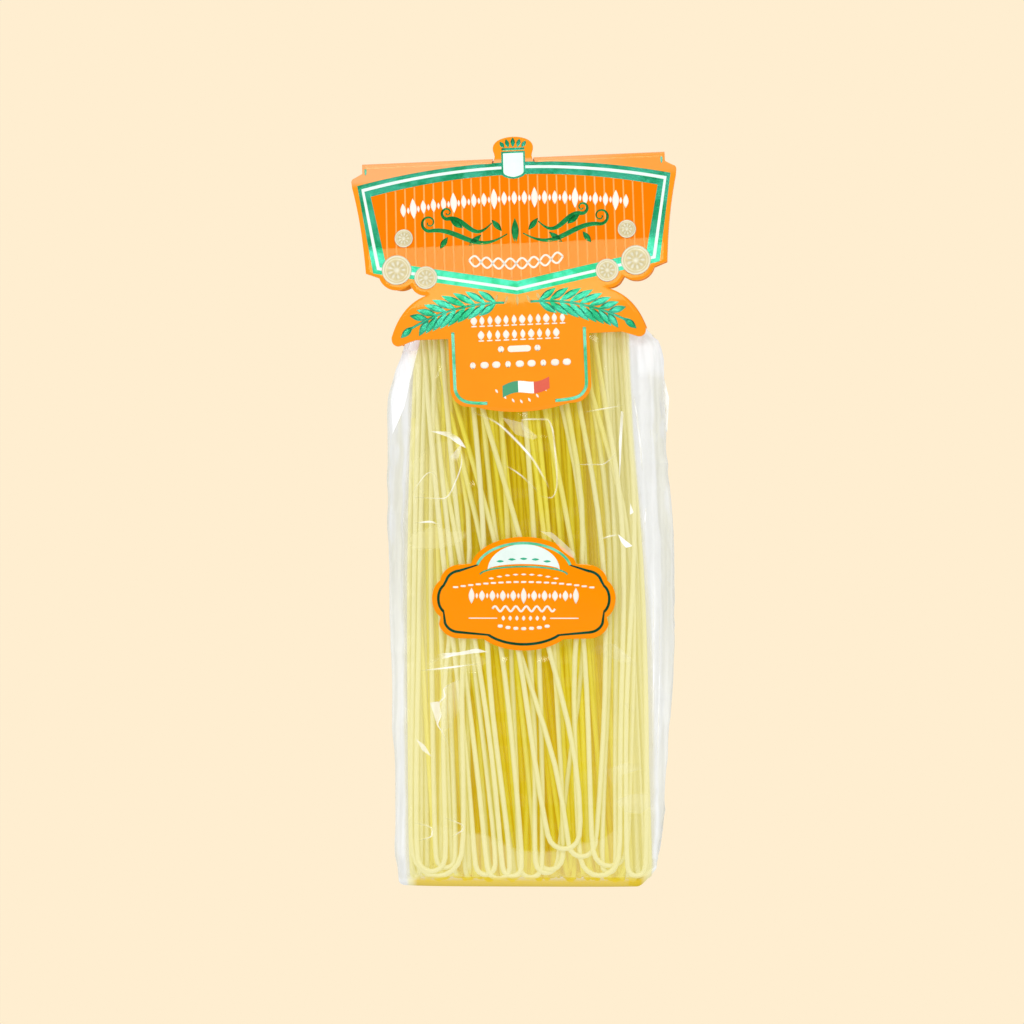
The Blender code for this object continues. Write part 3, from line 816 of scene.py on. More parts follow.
def add_node(tree, kind, values=(), **settings):
    """A shader node with settings and input values; a value that is a socket is linked."""
    node = tree.nodes.new("ShaderNode" + kind)
    for key, value in settings.items():
        setattr(node, key, value)
    for key, value in dict(values).items():
        if isinstance(value, bpy.types.NodeSocket):
            tree.links.new(value, node.inputs[key])
        else:
            node.inputs[key].default_value = value
    return node


def value_of(tree, name):
    """A number that each point of a piece carries in a named attribute."""
    return add_node(tree, "Attribute", attribute_name=name).outputs["Fac"]


def mix_colour(tree, factor, first, second):
    """A colour mixed between two colours by a factor."""
    colours = [colour if isinstance(colour, bpy.types.NodeSocket) else (*colour, 1.0)
               for colour in (first, second)]
    values = zip(MIX_COLOUR_INPUTS, (factor, *colours))
    return add_node(tree, "Mix", values, data_type="RGBA").outputs[2]


def ramp(tree, value, low, high):
    """A value stretched from the range low to high onto 0 to 1, eased."""
    node = add_node(tree, "MapRange", {0: value, 1: low, 2: high}, interpolation_type="SMOOTHSTEP")
    return node.outputs[0]


def maths(tree, operation, *values):
    """The result of a Math node's operation on values, of which sockets are linked."""
    return add_node(tree, "Math", enumerate(values), operation=operation).outputs[0]


def grain_group():
    """A node group that puts out fine grain and slow blotches from the piece's own coordinates."""
    found = bpy.data.node_groups.get("surface_grain")
    if found:
        return found
    group = bpy.data.node_groups.new("surface_grain", "ShaderNodeTree")
    for name, default in (("Scale", 1000.0), ("Blotch Scale", 60.0)):
        socket = group.interface.new_socket(name, in_out="INPUT", socket_type="NodeSocketFloat")
        socket.default_value = default
    for name in ("Grain", "Blotch"):
        group.interface.new_socket(name, in_out="OUTPUT", socket_type="NodeSocketFloat")
    given = group.nodes.new("NodeGroupInput")
    result = group.nodes.new("NodeGroupOutput")
    place = add_node(group, "TexCoord").outputs["Object"]
    for source, target in (("Scale", "Grain"), ("Blotch Scale", "Blotch")):
        noise = add_node(group, "TexNoise", {"Vector": place, "Scale": given.outputs[source]})
        noise.inputs["Detail"].default_value = 3.0
        group.links.new(noise.outputs[0], result.inputs[target])
    return group


def add_grain(tree, scale, blotch_scale):
    """The grain and the blotches of the shared group at two scales."""
    node = add_node(tree, "Group", node_tree=grain_group())
    node.inputs["Scale"].default_value = scale
    node.inputs["Blotch Scale"].default_value = blotch_scale
    return node.outputs["Grain"], node.outputs["Blotch"]


def rough_grain(tree, grain, spread, least):
    """Roughness that grows with the grain from its least value."""
    return maths(tree, "ADD", maths(tree, "MULTIPLY", grain, spread), least)


def finish_principled(tree, colour, roughness, height, bump, distance=0.0001, plain=()):
    """A Principled shader to the output, with a bump from a height and plain values of its own."""
    relief = add_node(tree, "Bump", {"Strength": bump, "Distance": distance, "Height": height})
    shader = add_node(tree, "BsdfPrincipled", {"Base Color": colour, "Roughness": roughness,
                                               "Normal": relief.outputs[0], **dict(plain)})
    add_node(tree, "OutputMaterial", {0: shader.outputs[0]})


def pasta_material(pale, inner, deep):
    """Dry pasta: pale by the film, then painted yellower and golden deeper in, for the light that has come
    through other strands. A faint glow of every strand, a painted light, stands for the light that seeps
    through the bundle."""
    material, tree = new_material("dry_pasta")
    grain, blotch = add_grain(tree, 900.0, 45.0)
    mottle = maths(tree, "MULTIPLY", maths(tree, "SUBTRACT", blotch, 0.5), PASTA_MOTTLE)
    depth = maths(tree, "ADD", value_of(tree, "tone"), mottle)
    inward, far_in = ramp(tree, depth, *INNER_TONES), ramp(tree, depth, *DEEP_TONES)
    shade = mix_colour(tree, far_in, mix_colour(tree, inward, pale, inner), deep)
    glow = mix_colour(tree, far_in, mix_colour(tree, inward, OUTER_GLOW, INNER_GLOW), DEEP_GLOW)
    seeping = mix_colour(tree, value_of(tree, "seep"), (0.0, 0.0, 0.0), glow)
    finish_principled(tree, shade, rough_grain(tree, grain, 0.2, 0.34), grain, 0.25, plain={
        "Emission Color": seeping, "Emission Strength": 1.0, "Specular IOR Level": 0.25})
    material.cycles.emission_sampling = "NONE"
    return material


def film_material(name, white_share, dull, bright):
    """Clear film: see-through, with a mirror share that grows at grazing angles and milky places, which also
    carry painted reflections and highlights, whose white is streaked from dull to bright down the bag and is
    painted with the strands' gold where it is warm.

    Light that passes on its way to the strands isn't dimmed, as the film is far thinner than it looks."""
    material, tree = new_material(name)
    milk_and_shine, warm = value_of(tree, "white_share"), value_of(tree, "warm")
    grain, _blotch = add_grain(tree, 500.0, 28.0)
    relief = add_node(tree, "Bump", {"Strength": 0.2, "Distance": 0.0003, "Height": grain})
    fresnel = add_node(tree, "Fresnel", {"IOR": 1.36, "Normal": relief.outputs[0]}).outputs[0]
    path = add_node(tree, "LightPath").outputs
    unseen = maths(tree, "MAXIMUM", path["Is Shadow Ray"], path["Is Diffuse Ray"])
    passing = maths(tree, "SUBTRACT", 1.0, unseen)
    clear = add_node(tree, "BsdfTransparent")
    mirror = add_node(tree, "BsdfGlossy", {"Roughness": 0.07, "Normal": relief.outputs[0]})
    own_place = add_node(tree, "TexCoord").outputs["Object"]
    place = add_node(tree, "Mapping", {"Vector": own_place, "Scale": (1.0, 1.0, 0.05)})
    streaks = {"Vector": place.outputs[0], "Scale": 330.0, "Detail": 2.0}
    streaks = add_node(tree, "TexNoise", streaks).outputs[0]
    tint = mix_colour(tree, ramp(tree, streaks, 0.35, 0.65), dull, bright)
    tint = mix_colour(tree, ramp(tree, warm, 0.0, WARM_MIDDLE), tint, FILM_OVER_STRANDS)
    tint = mix_colour(tree, ramp(tree, warm, WARM_MIDDLE, WARM_MOST), tint, FILM_AT_FOOT)
    white = add_node(tree, "BsdfDiffuse", {"Color": tint})
    gloss = add_node(tree, "MixShader", {0: maths(tree, "MULTIPLY", fresnel, passing),
                                         1: clear.outputs[0], 2: mirror.outputs[0]})
    share = maths(tree, "MULTIPLY", maths(tree, "MAXIMUM", milk_and_shine, white_share), passing)
    film = add_node(tree, "MixShader", {0: share, 1: gloss.outputs[0], 2: white.outputs[0]})
    add_node(tree, "OutputMaterial", {0: film.outputs[0]})
    return material


def fold_highlight_share(tree):
    """Where a painted highlight makes the board paler: in a band under the fold, less so towards the card's
    right end.
    """
    place = add_node(tree, "TexCoord").outputs["Object"]
    parts = add_node(tree, "SeparateXYZ", {0: place}).outputs
    along = maths(tree, "MULTIPLY_ADD", parts["X"], math.tan(CARD_TILT),
                  MM * (FOLD_HEIGHT - FOLD_CENTRE_X * math.tan(CARD_TILT)))
    drop = maths(tree, "SUBTRACT", along, parts["Z"])
    near = maths(tree, "MULTIPLY", ramp(tree, drop, -0.0005, 0.0005), ramp(tree, drop, *PALE_DROPS))
    left = maths(tree, "MULTIPLY_ADD", ramp(tree, parts["X"], *PALE_LENGTHS), 1.0 - PALE_LEAST, PALE_LEAST)
    return maths(tree, "MULTIPLY", near, left)


def card_material(name, colour, gloss, pale=None):
    """Coated board: even orange ink with a faint mottle and a warm gloss, and a painted highlight that makes
    it paler at the fold where asked.
    """
    material, tree = new_material(name)
    grain, blotch = add_grain(tree, 1500.0, 90.0)
    deep = tuple(c * 0.97 for c in colour)
    shade = mix_colour(tree, ramp(tree, blotch, 0.3, 0.7), deep, colour)
    # Painted highlight at the fold
    if pale:
        shade = mix_colour(tree, fold_highlight_share(tree), shade, pale)
    finish_principled(tree, shade, rough_grain(tree, grain, 0.03, 0.03), grain, 0.05, 0.00005, {
        "Specular IOR Level": gloss, "Specular Tint": (*GLOSS_TINT, 1.0)})
    return material


def foil_material(name, colour, metallic=0.9):
    """Green foil: metal with a fine crinkle, deeper and less blue in slow blotches."""
    material, tree = new_material(name)
    grain, blotch = add_grain(tree, 1800.0, 140.0)
    deep = (colour[0] * 0.3, colour[1] * 0.72, colour[2] * 0.5)
    shade = mix_colour(tree, ramp(tree, blotch, 0.35, 0.6), deep, colour)
    finish_principled(tree, shade, rough_grain(tree, grain, 0.2, 0.27), grain, 0.6, 0.0002,
                      {"Metallic": metallic})
    return material


def ink_material(name, colour):
    """Opaque ink with a faint mottle."""
    material, tree = new_material(name)
    grain, blotch = add_grain(tree, 1600.0, 200.0)
    shade = mix_colour(tree, ramp(tree, blotch, 0.3, 0.7), tuple(c * 0.93 for c in colour), colour)
    finish_principled(tree, shade, rough_grain(tree, grain, 0.2, 0.3), grain, 0.1, 0.00005)
    return material


def gold_material(colour):
    """Pale gold foil on the embossed discs, with painted shade that makes it browner in the low places of the
    relief.
    """
    material, tree = new_material("pale_gold")
    grain, blotch = add_grain(tree, 1400.0, 260.0)
    # Painted shade in the relief's low places
    low = (colour[0] * 0.80, colour[1] * 0.72, colour[2] * 0.50)
    mottle = maths(tree, "MULTIPLY", maths(tree, "SUBTRACT", blotch, 0.5), 0.5)
    height = maths(tree, "ADD", value_of(tree, "relief"), mottle)
    shade = mix_colour(tree, ramp(tree, height, 0.1, 0.7), low, colour)
    finish_principled(tree, shade, rough_grain(tree, grain, 0.3, 0.3), grain, 0.3, 0.0002, {"Metallic": 0.3})
    return material


def shared(make, name, *values):
    """The material of that name, which is made once."""
    return bpy.data.materials.get(name) or make(name, *values)


def dress(piece, material, replaced=()):
    """Gives a piece its material, its body and the CAD nodes that it stands for."""
    piece.data.materials.append(material)
    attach(piece, BODY)
    if replaced:
        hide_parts(*replaced)
    return piece


# Strands


def strand_room(x, heights, diameter):
    """How far a strand's middle may stand from the bag's middle plane."""
    return np.maximum(face_depth(x, heights) - 0.5 * diameter - FILM_CLEARANCE, LEAST_ROOM)


def place_front_loops(diameter):
    """Legs of the listed front loops, whose sideways places are eased between five heights."""
    legs = [leg for loop in FRONT_LOOPS for leg in loop[2:]]
    x = np.array([eased(np.column_stack((FRONT_HEIGHTS, leg)), LEVELS)[:, 0] for leg in legs]).T
    layer = np.repeat([loop[1] for loop in FRONT_LOOPS], 2)
    heights = np.broadcast_to(LEVELS[:, None], x.shape)
    y = -(strand_room(x, heights, diameter) - LAYER_PITCH * diameter * layer)
    return x, y, np.array([loop[0] for loop in FRONT_LOOPS])


def place_random_loops(draw, count):
    """Columns of loops one inside the other, turned about the vertical, whose legs lean.

    A leg's line is x = x0 + lean (z - foot) + bulge sin(pi z / top). Leans fade towards the bundle's sides.
    """
    places = []
    for column in range(LOOP_COLUMNS):
        x = COLUMN_SPREAD * ((column + 0.5) / LOOP_COLUMNS - 0.5) + draw.uniform(-COLUMN_DRIFT, COLUMN_DRIFT)
        near = FIRST_START + draw.uniform(-START_DRIFT, START_DRIFT)
        while near < LAST_START:
            outer = draw.uniform(*LOOP_WIDTHS)
            if near + outer > LOOP_LIMIT:
                outer = max(LAST_LEG - near, LEAST_WIDTH)
            places.append((x, near + 0.5 * outer, outer))
            if outer > WIDTH_FOR_TWO:
                places.append((x, near + 0.5 * outer, outer - draw.uniform(*INNER_LESS)))
            near += outer + LOOP_PITCH
    chosen = np.sort(draw.permutation(len(places))[:count])
    x, y, width = np.array(places)[chosen].T
    turn = np.radians(draw.normal(90.0, TURN_SPREAD, len(x)))
    front = np.clip((FRONT_FROM - y) / FRONT_OVER, 0.0, 1.0)
    fade = 1.0 - np.clip(np.abs(x) / LEAN_HALF_WIDTH, 0.0, 1.0) ** LEAN_FADE_POWER
    spread = draw.normal(0.0, 1.0, len(x)) * (LEAN[1] + FRONT_LEAN[1] * front)
    common = (LEAN[0] + FRONT_LEAN[0] * front + spread) * fade
    rise = (LEVELS - LEAN_FOOT)[:, None]
    arch = np.sin(np.pi * LEVELS / LEVELS[-1])[:, None]
    legs_x, legs_y = [], []
    for side in (-1.0, 1.0):
        lean = common + draw.normal(0.0, LEG_LEAN, len(x)) * fade
        bulge = draw.normal(0.0, LEG_BULGE, len(x)) * arch
        tilt = draw.normal(0.0, LEG_TILT, len(x)) * rise
        legs_x.append(x + side * 0.5 * width * np.cos(turn) + lean * rise + bulge)
        legs_y.append(y + side * 0.5 * width * np.sin(turn) + tilt)
    pairs_x = np.stack(legs_x, axis=-1).reshape(len(LEVELS), -1)
    pairs_y = np.stack(legs_y, axis=-1).reshape(len(LEVELS), -1)
    return pairs_x, pairs_y, draw.uniform(*LOWEST_BENDS, len(x))


def strand_tops(draw, x):
    """Heights of the legs' ends: each ends below the place where the neck closes in on it."""
    tops = draw.uniform(*STRAND_TOPS, x.shape[1])
    heights = np.arange(SHOULDER_HEIGHT, STRAND_TOPS[1] + 1.0)
    half_width, _depth, _crease, _groove, shift = np.moveaxis(eased(BAG_STATIONS, heights), -1, 0)
    inside = np.abs(leg_at(x, np.tile(heights, (x.shape[1], 1))) - shift) < half_width - TOP_CLEARANCE
    return np.minimum(tops, heights[0] + np.cumprod(inside, axis=1).sum(axis=1))


def settle(x, y, tops, held, diameter, rounds):
    """Pushes legs apart at every level until they no longer cross, and keeps them stiff and inside the film.

    Each round moves a leg by half its overlap with each neighbour, then solves (I + k D'D) x' = x along
    its height, where D takes second differences and the stiffness k falls from round to round. The listed
    front legs are drawn back to their first places, and the others stay a little way behind the film's front.
    """
    first_x = x.copy()
    radius = 0.5 * diameter
    second = np.diff(np.eye(len(LEVELS)), n=2, axis=0)
    alive = (LEVELS[:, None] <= tops[None] + REACH_ABOVE_TOP).astype(np.float32)
    pairs = alive[:, :, None] * alive[:, None, :]
    pairs *= (1.0 - np.eye(x.shape[1], dtype=np.float32))[None]
    middle, half = np.moveaxis(eased(BUNDLE_STATIONS, LEVELS), -1, 0)
    low, high = (middle - half + radius)[:, None], (middle + half - radius)[:, None]
    heights = np.broadcast_to(LEVELS[:, None], x.shape)
    wanted = diameter * TOUCHING
    for turn in range(rounds):
        across = (x[:, :, None] - x[:, None, :]).astype(np.float32)
        along = (y[:, :, None] - y[:, None, :]).astype(np.float32)
        distance = np.sqrt(across * across + along * along) + 1e-4
        push = pairs * np.maximum(wanted / distance - 1.0, 0.0) * 0.5
        x = x + (push * across).sum(axis=2)
        y = y + (push * along).sum(axis=2)
        stiffness = FIRST_STIFFNESS * STIFFNESS_LEFT ** (turn / max(rounds - 1, 1))
        stiff = np.linalg.inv(np.eye(len(LEVELS)) + stiffness * second.T @ second)
        x, y = stiff @ x, stiff @ y
        x = x + HOLD_SHARE * held * (first_x - x)
        x = np.clip(x, low, high)
        room = strand_room(x, heights, diameter)
        y = np.clip(y, -(room - FRONT_ROOM * (1.0 - held)), room)
    return x, y


def leg_at(levels_values, heights):
    """Values of each leg at its own heights, by the Catmull-Rom curve through the levels.

    levels_values is (levels, legs) and heights is (legs, points)."""
    step = LEVELS[1] - LEVELS[0]
    place = np.clip((heights - LEVELS[0]) / step, 0.0, len(LEVELS) - 1.001)
    low = place.astype(int)
    t = place - low
    leg = np.arange(levels_values.shape[1])[:, None]
    near = [np.clip(low + offset, 0, len(LEVELS) - 1) for offset in (-1, 0, 1, 2)]
    p0, p1, p2, p3 = (levels_values[level, leg] for level in near)
    return 0.5 * (2 * p1 + (p2 - p0) * t + (2 * p0 - 5 * p1 + 4 * p2 - p3) * t ** 2
                  + (3 * p1 - p0 - 3 * p2 + p3) * t ** 3)


def strand_lines(x, y, tops, lowest):
    """Points along each U: down one leg, round a half ellipse of the legs' distance and up the other leg."""
    left, right = slice(0, None, 2), slice(1, None, 2)
    level = np.full((x.shape[1], 1), BEND_LEVEL)
    start = np.stack([leg_at(values, level)[:, 0] for values in (x, y)], axis=-1)
    width = np.hypot(*(start[right] - start[left]).T)
    turn_height = lowest + 0.5 * width * BEND_SHAPE
    legs = []
    for side in (left, right):
        share = np.linspace(0.0, 1.0, LEG_POINTS)[None]
        heights = tops[side][:, None] + (turn_height - tops[side])[:, None] * share
        legs.append(np.stack((leg_at(x[:, side], heights), leg_at(y[:, side], heights), heights), axis=-1))
    a, b = legs[0][:, -1], legs[1][:, -1]
    angle = (np.pi * np.arange(1, BEND_POINTS + 1) / (BEND_POINTS + 1.0))[None, :, None]
    middle, reach = 0.5 * (a + b)[:, None], 0.5 * (b - a)[:, None]
    bend = middle - np.cos(angle) * reach
    bend[..., 2] -= (turn_height - lowest)[:, None] * np.sin(angle[..., 0])
    line = np.concatenate((legs[0], bend, legs[1][:, ::-1]), axis=1)
    for _turn in range(2):
        line[:, 1:-1] = 0.25 * line[:, :-2] + 0.5 * line[:, 1:-1] + 0.25 * line[:, 2:]
    return line


def bundle_depth(lines):
    """How deep each point lies in the bundle, which the pasta paints as light and shade: 0 by the film and 1
    from a few strands' depth on, with a share more far from the bundle's sides, where less light comes in
    from beside it, and more again higher up, a painted shade under the card."""
    x, y, z = np.moveaxis(lines, -1, 0)
    middle, half = np.moveaxis(eased(BUNDLE_STATIONS, z), -1, 0)
    behind = np.minimum(face_depth(x, z) - np.abs(y), SIDE_SHARE * (half - np.abs(x - middle)) + 1.0)
    far = smooth_step(*FAR_STEPS, np.abs(x - middle))
    return smooth_step(*DEPTH_STEPS, behind) + far * (MIDDLE_TONE + UPPER_TONE * smooth_step(*UPPER_STEPS, z))


def tube_piece(name, lines, radius, sides):
    """Round sticks along many lines: point(s, a) = line(s) + r (cos a * n + sin a * t x n), where t is the
    line's direction and n points square to the plane of the U. The ends are closed flat."""
    slope = np.gradient(lines, axis=1)
    slope /= np.linalg.norm(slope, axis=2, keepdims=True)
    chord = lines[:, -1] - lines[:, 0]
    lowest, reach = lines.shape[1] // 2, BEND_POINTS // 2
    bottom = lines[:, lowest + reach] - lines[:, lowest - reach]
    chord = np.where(np.abs(bottom[:, :2]).sum(axis=1, keepdims=True) > 0.5, bottom, chord)
    normal = np.stack((-chord[:, 1], chord[:, 0], np.zeros(len(chord))), axis=-1)[:, None]
    normal = normal - (normal * slope).sum(axis=2, keepdims=True) * slope
    normal /= np.linalg.norm(normal, axis=2, keepdims=True)
    binormal = np.cross(slope, normal)
    angle = 2.0 * np.pi * np.arange(sides) / sides
    ring = np.cos(angle)[:, None] * normal[:, :, None] + np.sin(angle)[:, None] * binormal[:, :, None]
    points = lines[:, :, None] + radius * ring
    count, steps = lines.shape[:2]
    strand = np.arange(count)[:, None, None] * steps * sides
    quads = (grid_faces(steps, sides, True)[None] + strand).reshape(-1, 4)
    body = count * steps * sides
    first_end = body + np.arange(count)
    last_end = first_end + count
    ring_start = (np.arange(count) * steps * sides)[:, None] + np.arange(sides)[None]
    ring_end = ring_start + (steps - 1) * sides
    after_start, after_end = (np.roll(ring, -1, axis=1).ravel() for ring in (ring_start, ring_end))
    caps = [np.stack((np.repeat(first_end, sides), after_start, ring_start.ravel()), 1),
            np.stack((np.repeat(last_end, sides), ring_end.ravel(), after_end), 1)]
    everything = np.vstack((points.reshape(-1, 3), lines[:, 0], lines[:, -1]))
    return new_piece(name, everything, [quads, *caps])


class PACK_OT_strands(bpy.types.Operator):
    """Lay the long hooked strands of the bundle and settle them inside the bag"""

    bl_idname = "pack.strands"
    bl_label = "Strands"

    def execute(self, context):
        settings = context.scene.pack_settings
        draw = np.random.default_rng(settings.strand_seed)
        diameter = settings.strand_diameter / MM
        front_x, front_y, front_low = place_front_loops(diameter)
        others = settings.strand_count - len(FRONT_LOOPS)
        other_x, other_y, other_low = place_random_loops(draw, others)
        x, y = np.hstack((front_x, other_x)), np.hstack((front_y, other_y))
        held = (np.arange(x.shape[1]) < front_x.shape[1]).astype(float)
        tops = strand_tops(draw, x)
        x, y = settle(x, y, tops, held, diameter, SETTLE_ROUNDS)
        lines = strand_lines(x, y, tops, np.concatenate((front_low, other_low)))
        tones = draw.normal(0.0, TONE_SPREAD, len(lines))[:, None] + bundle_depth(lines)
        material = pasta_material(settings.pasta_colour, settings.inner_colour, settings.deep_colour)
        front = lines[:, :, 1].mean(axis=1) < 0.0
        for name, chosen in (("strands_front", front), ("strands_back", ~front)):
            piece = tube_piece(name, lines[chosen], 0.5 * diameter, STRAND_SIDES)
            _x, y, z = np.moveaxis(lines[chosen], -1, 0)
            # A painted shade: the glow is weaker higher up and at the back, where less light reaches the
            # strands
            lost = SEEP_LOST * smooth_step(*SEEP_STEPS, z) + SEEP_LOST_BEHIND * smooth_step(*BEHIND_STEPS, y)
            for value, values in (("tone", tones[chosen]), ("seep", 1.0 - lost)):
                round_strand = np.repeat(values.ravel(), STRAND_SIDES)
                give_values(piece, value, np.concatenate((round_strand, values[:, 0], values[:, -1])))
            piece.data.set_sharp_from_angle(angle=END_ANGLE)
            dress(piece, material, ("bag",))
        return {"FINISHED"}


# Film bag


def bag_ring(heights, inset):
    """Level sections of the bag: front arc x = s + a sin(t), y = -depth(x), then the gusset groove, the back
    and the other groove. A groove's line is x = a - g (1 - |v|^1.5), y = c v for v from -1 to 1."""
    half_width, half_depth, crease, groove, shift = np.moveaxis(eased(BAG_STATIONS, heights), -1, 0)
    half_width, half_depth = half_width - inset, half_depth - inset
    crease = np.maximum(crease - inset, 0.2)
    angle = np.linspace(-0.5 * np.pi, 0.5 * np.pi, FACE_STEPS + 1)[None, :-1]
    front_x = half_width[:, None] * np.sin(angle)
    crown = (1.0 - np.abs(np.sin(angle)) ** FRONT_CORNER_POWER) ** (1.0 / DEPTH_POWER)
    front_y = -(crease[:, None] + (half_depth - crease)[:, None] * crown)
    v = np.linspace(-1.0, 1.0, GUSSET_STEPS + 1)[None, :-1]
    side_x = half_width[:, None] - groove[:, None] * (1.0 - np.abs(v) ** 1.5)
    side_y = crease[:, None] * v
    x = np.concatenate((front_x, side_x, -front_x, -side_x), axis=1) + shift[:, None]
    y = np.concatenate((front_y, side_y, -front_y, -side_y), axis=1)
    z = np.broadcast_to(np.asarray(heights, float)[:, None], x.shape)
    return np.stack((x, y, z), axis=-1)


def label_share(x, z):
    """1 where the label lies on the film and 0 away from it."""
    across, up = (x - LABEL_CENTRE[0]) / LABEL_REACH[0], (z - LABEL_CENTRE[1]) / LABEL_REACH[1]
    return smooth_step(1.1, 0.9, np.hypot(across, up))


def calm_share(points):
    """0 where the film lies flat under the card or the label and 1 where it is free."""
    x, _y, z = np.moveaxis(points, -1, 0)
    u, drop = to_card(x, z)
    under_card = smooth_step(*CALM_CARD_PLACES, np.abs(u)) * smooth_step(*CALM_CARD_DROPS, drop)
    under_card *= np.where(drop > CALM_TONGUE_DROP, smooth_step(*CALM_TONGUE_PLACES, np.abs(u)), 1.0)
    return (1.0 - under_card) * (1.0 - label_share(x, z))


def film_wave(points):
    """How far wrinkles move the film out, as a share of their height: ridges 1 - |noise| of two sizes,
    long folds that run down the bag and a finer crumple, calm at the base, the neck and under the paper."""
    stretched = points * (1.0, 1.0, FOLD_STRETCH)
    long_folds = 1.0 - np.abs(solid_noise(stretched, WRINKLE_SIZES[0], 3)) * RIDGE_DEPTH
    crumple = 1.0 - np.abs(solid_noise(points + 40.0, WRINKLE_SIZES[1], 5)) * RIDGE_DEPTH
    fine = solid_noise(points, WRINKLE_SIZES[2], 9)
    height = points[..., 2]
    calm = smooth_step(*CALM_BASE, height) * smooth_step(*CALM_NECK, height) * calm_share(points)
    shares = WRINKLE_SHARES
    return (shares[0] * long_folds + shares[1] * crumple + shares[2] * fine) * calm


def lift_corner(points):
    """The base's right corner drawn up off the floor: z + h r(x) (1 - r(z)), where r eases from 0 to 1."""
    x, y, z = np.moveaxis(points, -1, 0)
    lift = CORNER_LIFT * smooth_step(*CORNER_PLACES, x) * smooth_step(*CORNER_HEIGHTS, z)
    return np.stack((x, y, z + lift), axis=-1)


def film_rows():
    """Level sections of the film from the rounded base edge to the neck, with directions out of the bag."""
    rounding = np.radians(np.linspace(0.0, 90.0, 6))
    foot = BASE_ROUND * (1.0 - np.sin(rounding))
    foot_heights = BASE_ROUND * (1.0 - np.cos(rounding))
    heights = np.linspace(BASE_ROUND, BAG_TOP, FILM_ROWS)[1:]
    rows = [bag_ring(np.array([height]), inset)[0] for height, inset in zip(foot_heights, foot)]
    side = np.concatenate((np.array(rows), bag_ring(heights, 0.0)), axis=0)
    around = np.roll(side, -1, axis=1) - np.roll(side, 1, axis=1)
    outward = np.stack((around[..., 1], -around[..., 0], np.zeros(around.shape[:2])), axis=-1)
    outward /= np.maximum(np.linalg.norm(outward, axis=2, keepdims=True), 1e-6)
    return side, outward


def film_haze(side):
    """How milky the film is, with its painted reflections, and how much of the strands' gold is painted on
    it.

    It is milkiest where it is loose beside the strands and at the shoulders, less so in the gussets, and a
    little milky towards the bundle's sides. Patches and a low band with crisp edges, painted reflections of
    the lights, lie on the front and the back. The painted gold is all over the bundle and strongest at the
    folded foot, where the white and the gold are a painted reflection of the strands."""
    x, y, z = np.moveaxis(side, -1, 0)
    facing_x = np.where(y < 0.0, x, -x)
    middle, half = np.moveaxis(eased(BUNDLE_STATIONS, z), -1, 0)
    across = np.abs(x - middle)
    over = smooth_step(BUNDLE_EDGE, -BUNDLE_EDGE, across - half)
    gusset = smooth_step(1.2, 0.8, np.abs(y) / eased(BAG_STATIONS, z)[..., 2])
    beside = BESIDE_HAZE - BESIDE_LESS_HIGH * smooth_step(*HIGH_STEPS, z)
    beside *= smooth_step(-BUNDLE_EDGE, BUNDLE_EDGE, across - half) * (1.0 - GUSSET_LESS * gusset)
    flank = FLANK_HAZE * smooth_step(*FLANK_PLACES, across) * over * smooth_step(*FLANK_HEIGHTS, z)
    shoulder = smooth_step(*SHOULDER_PLACES, across - half) * smooth_step(*SHOULDER_HEIGHTS, z)
    neck = NECK_HAZE * smooth_step(*NECK_HEIGHTS, z)
    edge = np.interp(facing_x, *np.array(LOW_BAND).T)
    low = BAND_SHEEN * smooth_step(edge + BAND_EDGE, edge - BAND_EDGE, z) * smooth_step(0.0, 2.0, z)
    white_share = np.maximum.reduce((beside, flank, SHOULDER_HAZE * shoulder, neck, low))
    # White patches of painted reflection of the lights
    for centre_x, centre_z, half_x, half_z, turn, share in SHEEN_PATCHES:
        cos, sin = math.cos(math.radians(turn)), math.sin(math.radians(turn))
        u, v = facing_x - centre_x, z - centre_z
        wobble = 1.0 + PATCH_WOBBLE[0] * solid_noise(side + centre_x, PATCH_WOBBLE[1], 13)
        reach = np.hypot((u * cos + v * sin) / half_x, (v * cos - u * sin) / half_z) * wobble
        white_share = np.maximum(white_share, share * smooth_step(*PATCH_EDGE, reach) + white_share * (1.0 - share))
    foot = smooth_step(*FOOT_HEIGHTS, z)
    faces = smooth_step(*FOOT_PLACES, np.abs(x)) * (np.abs(y) > FOOT_DEPTH)
    return np.maximum(white_share, FOOT_SHEEN * foot), BUNDLE_WARM * over + FOOT_WARM * foot * faces


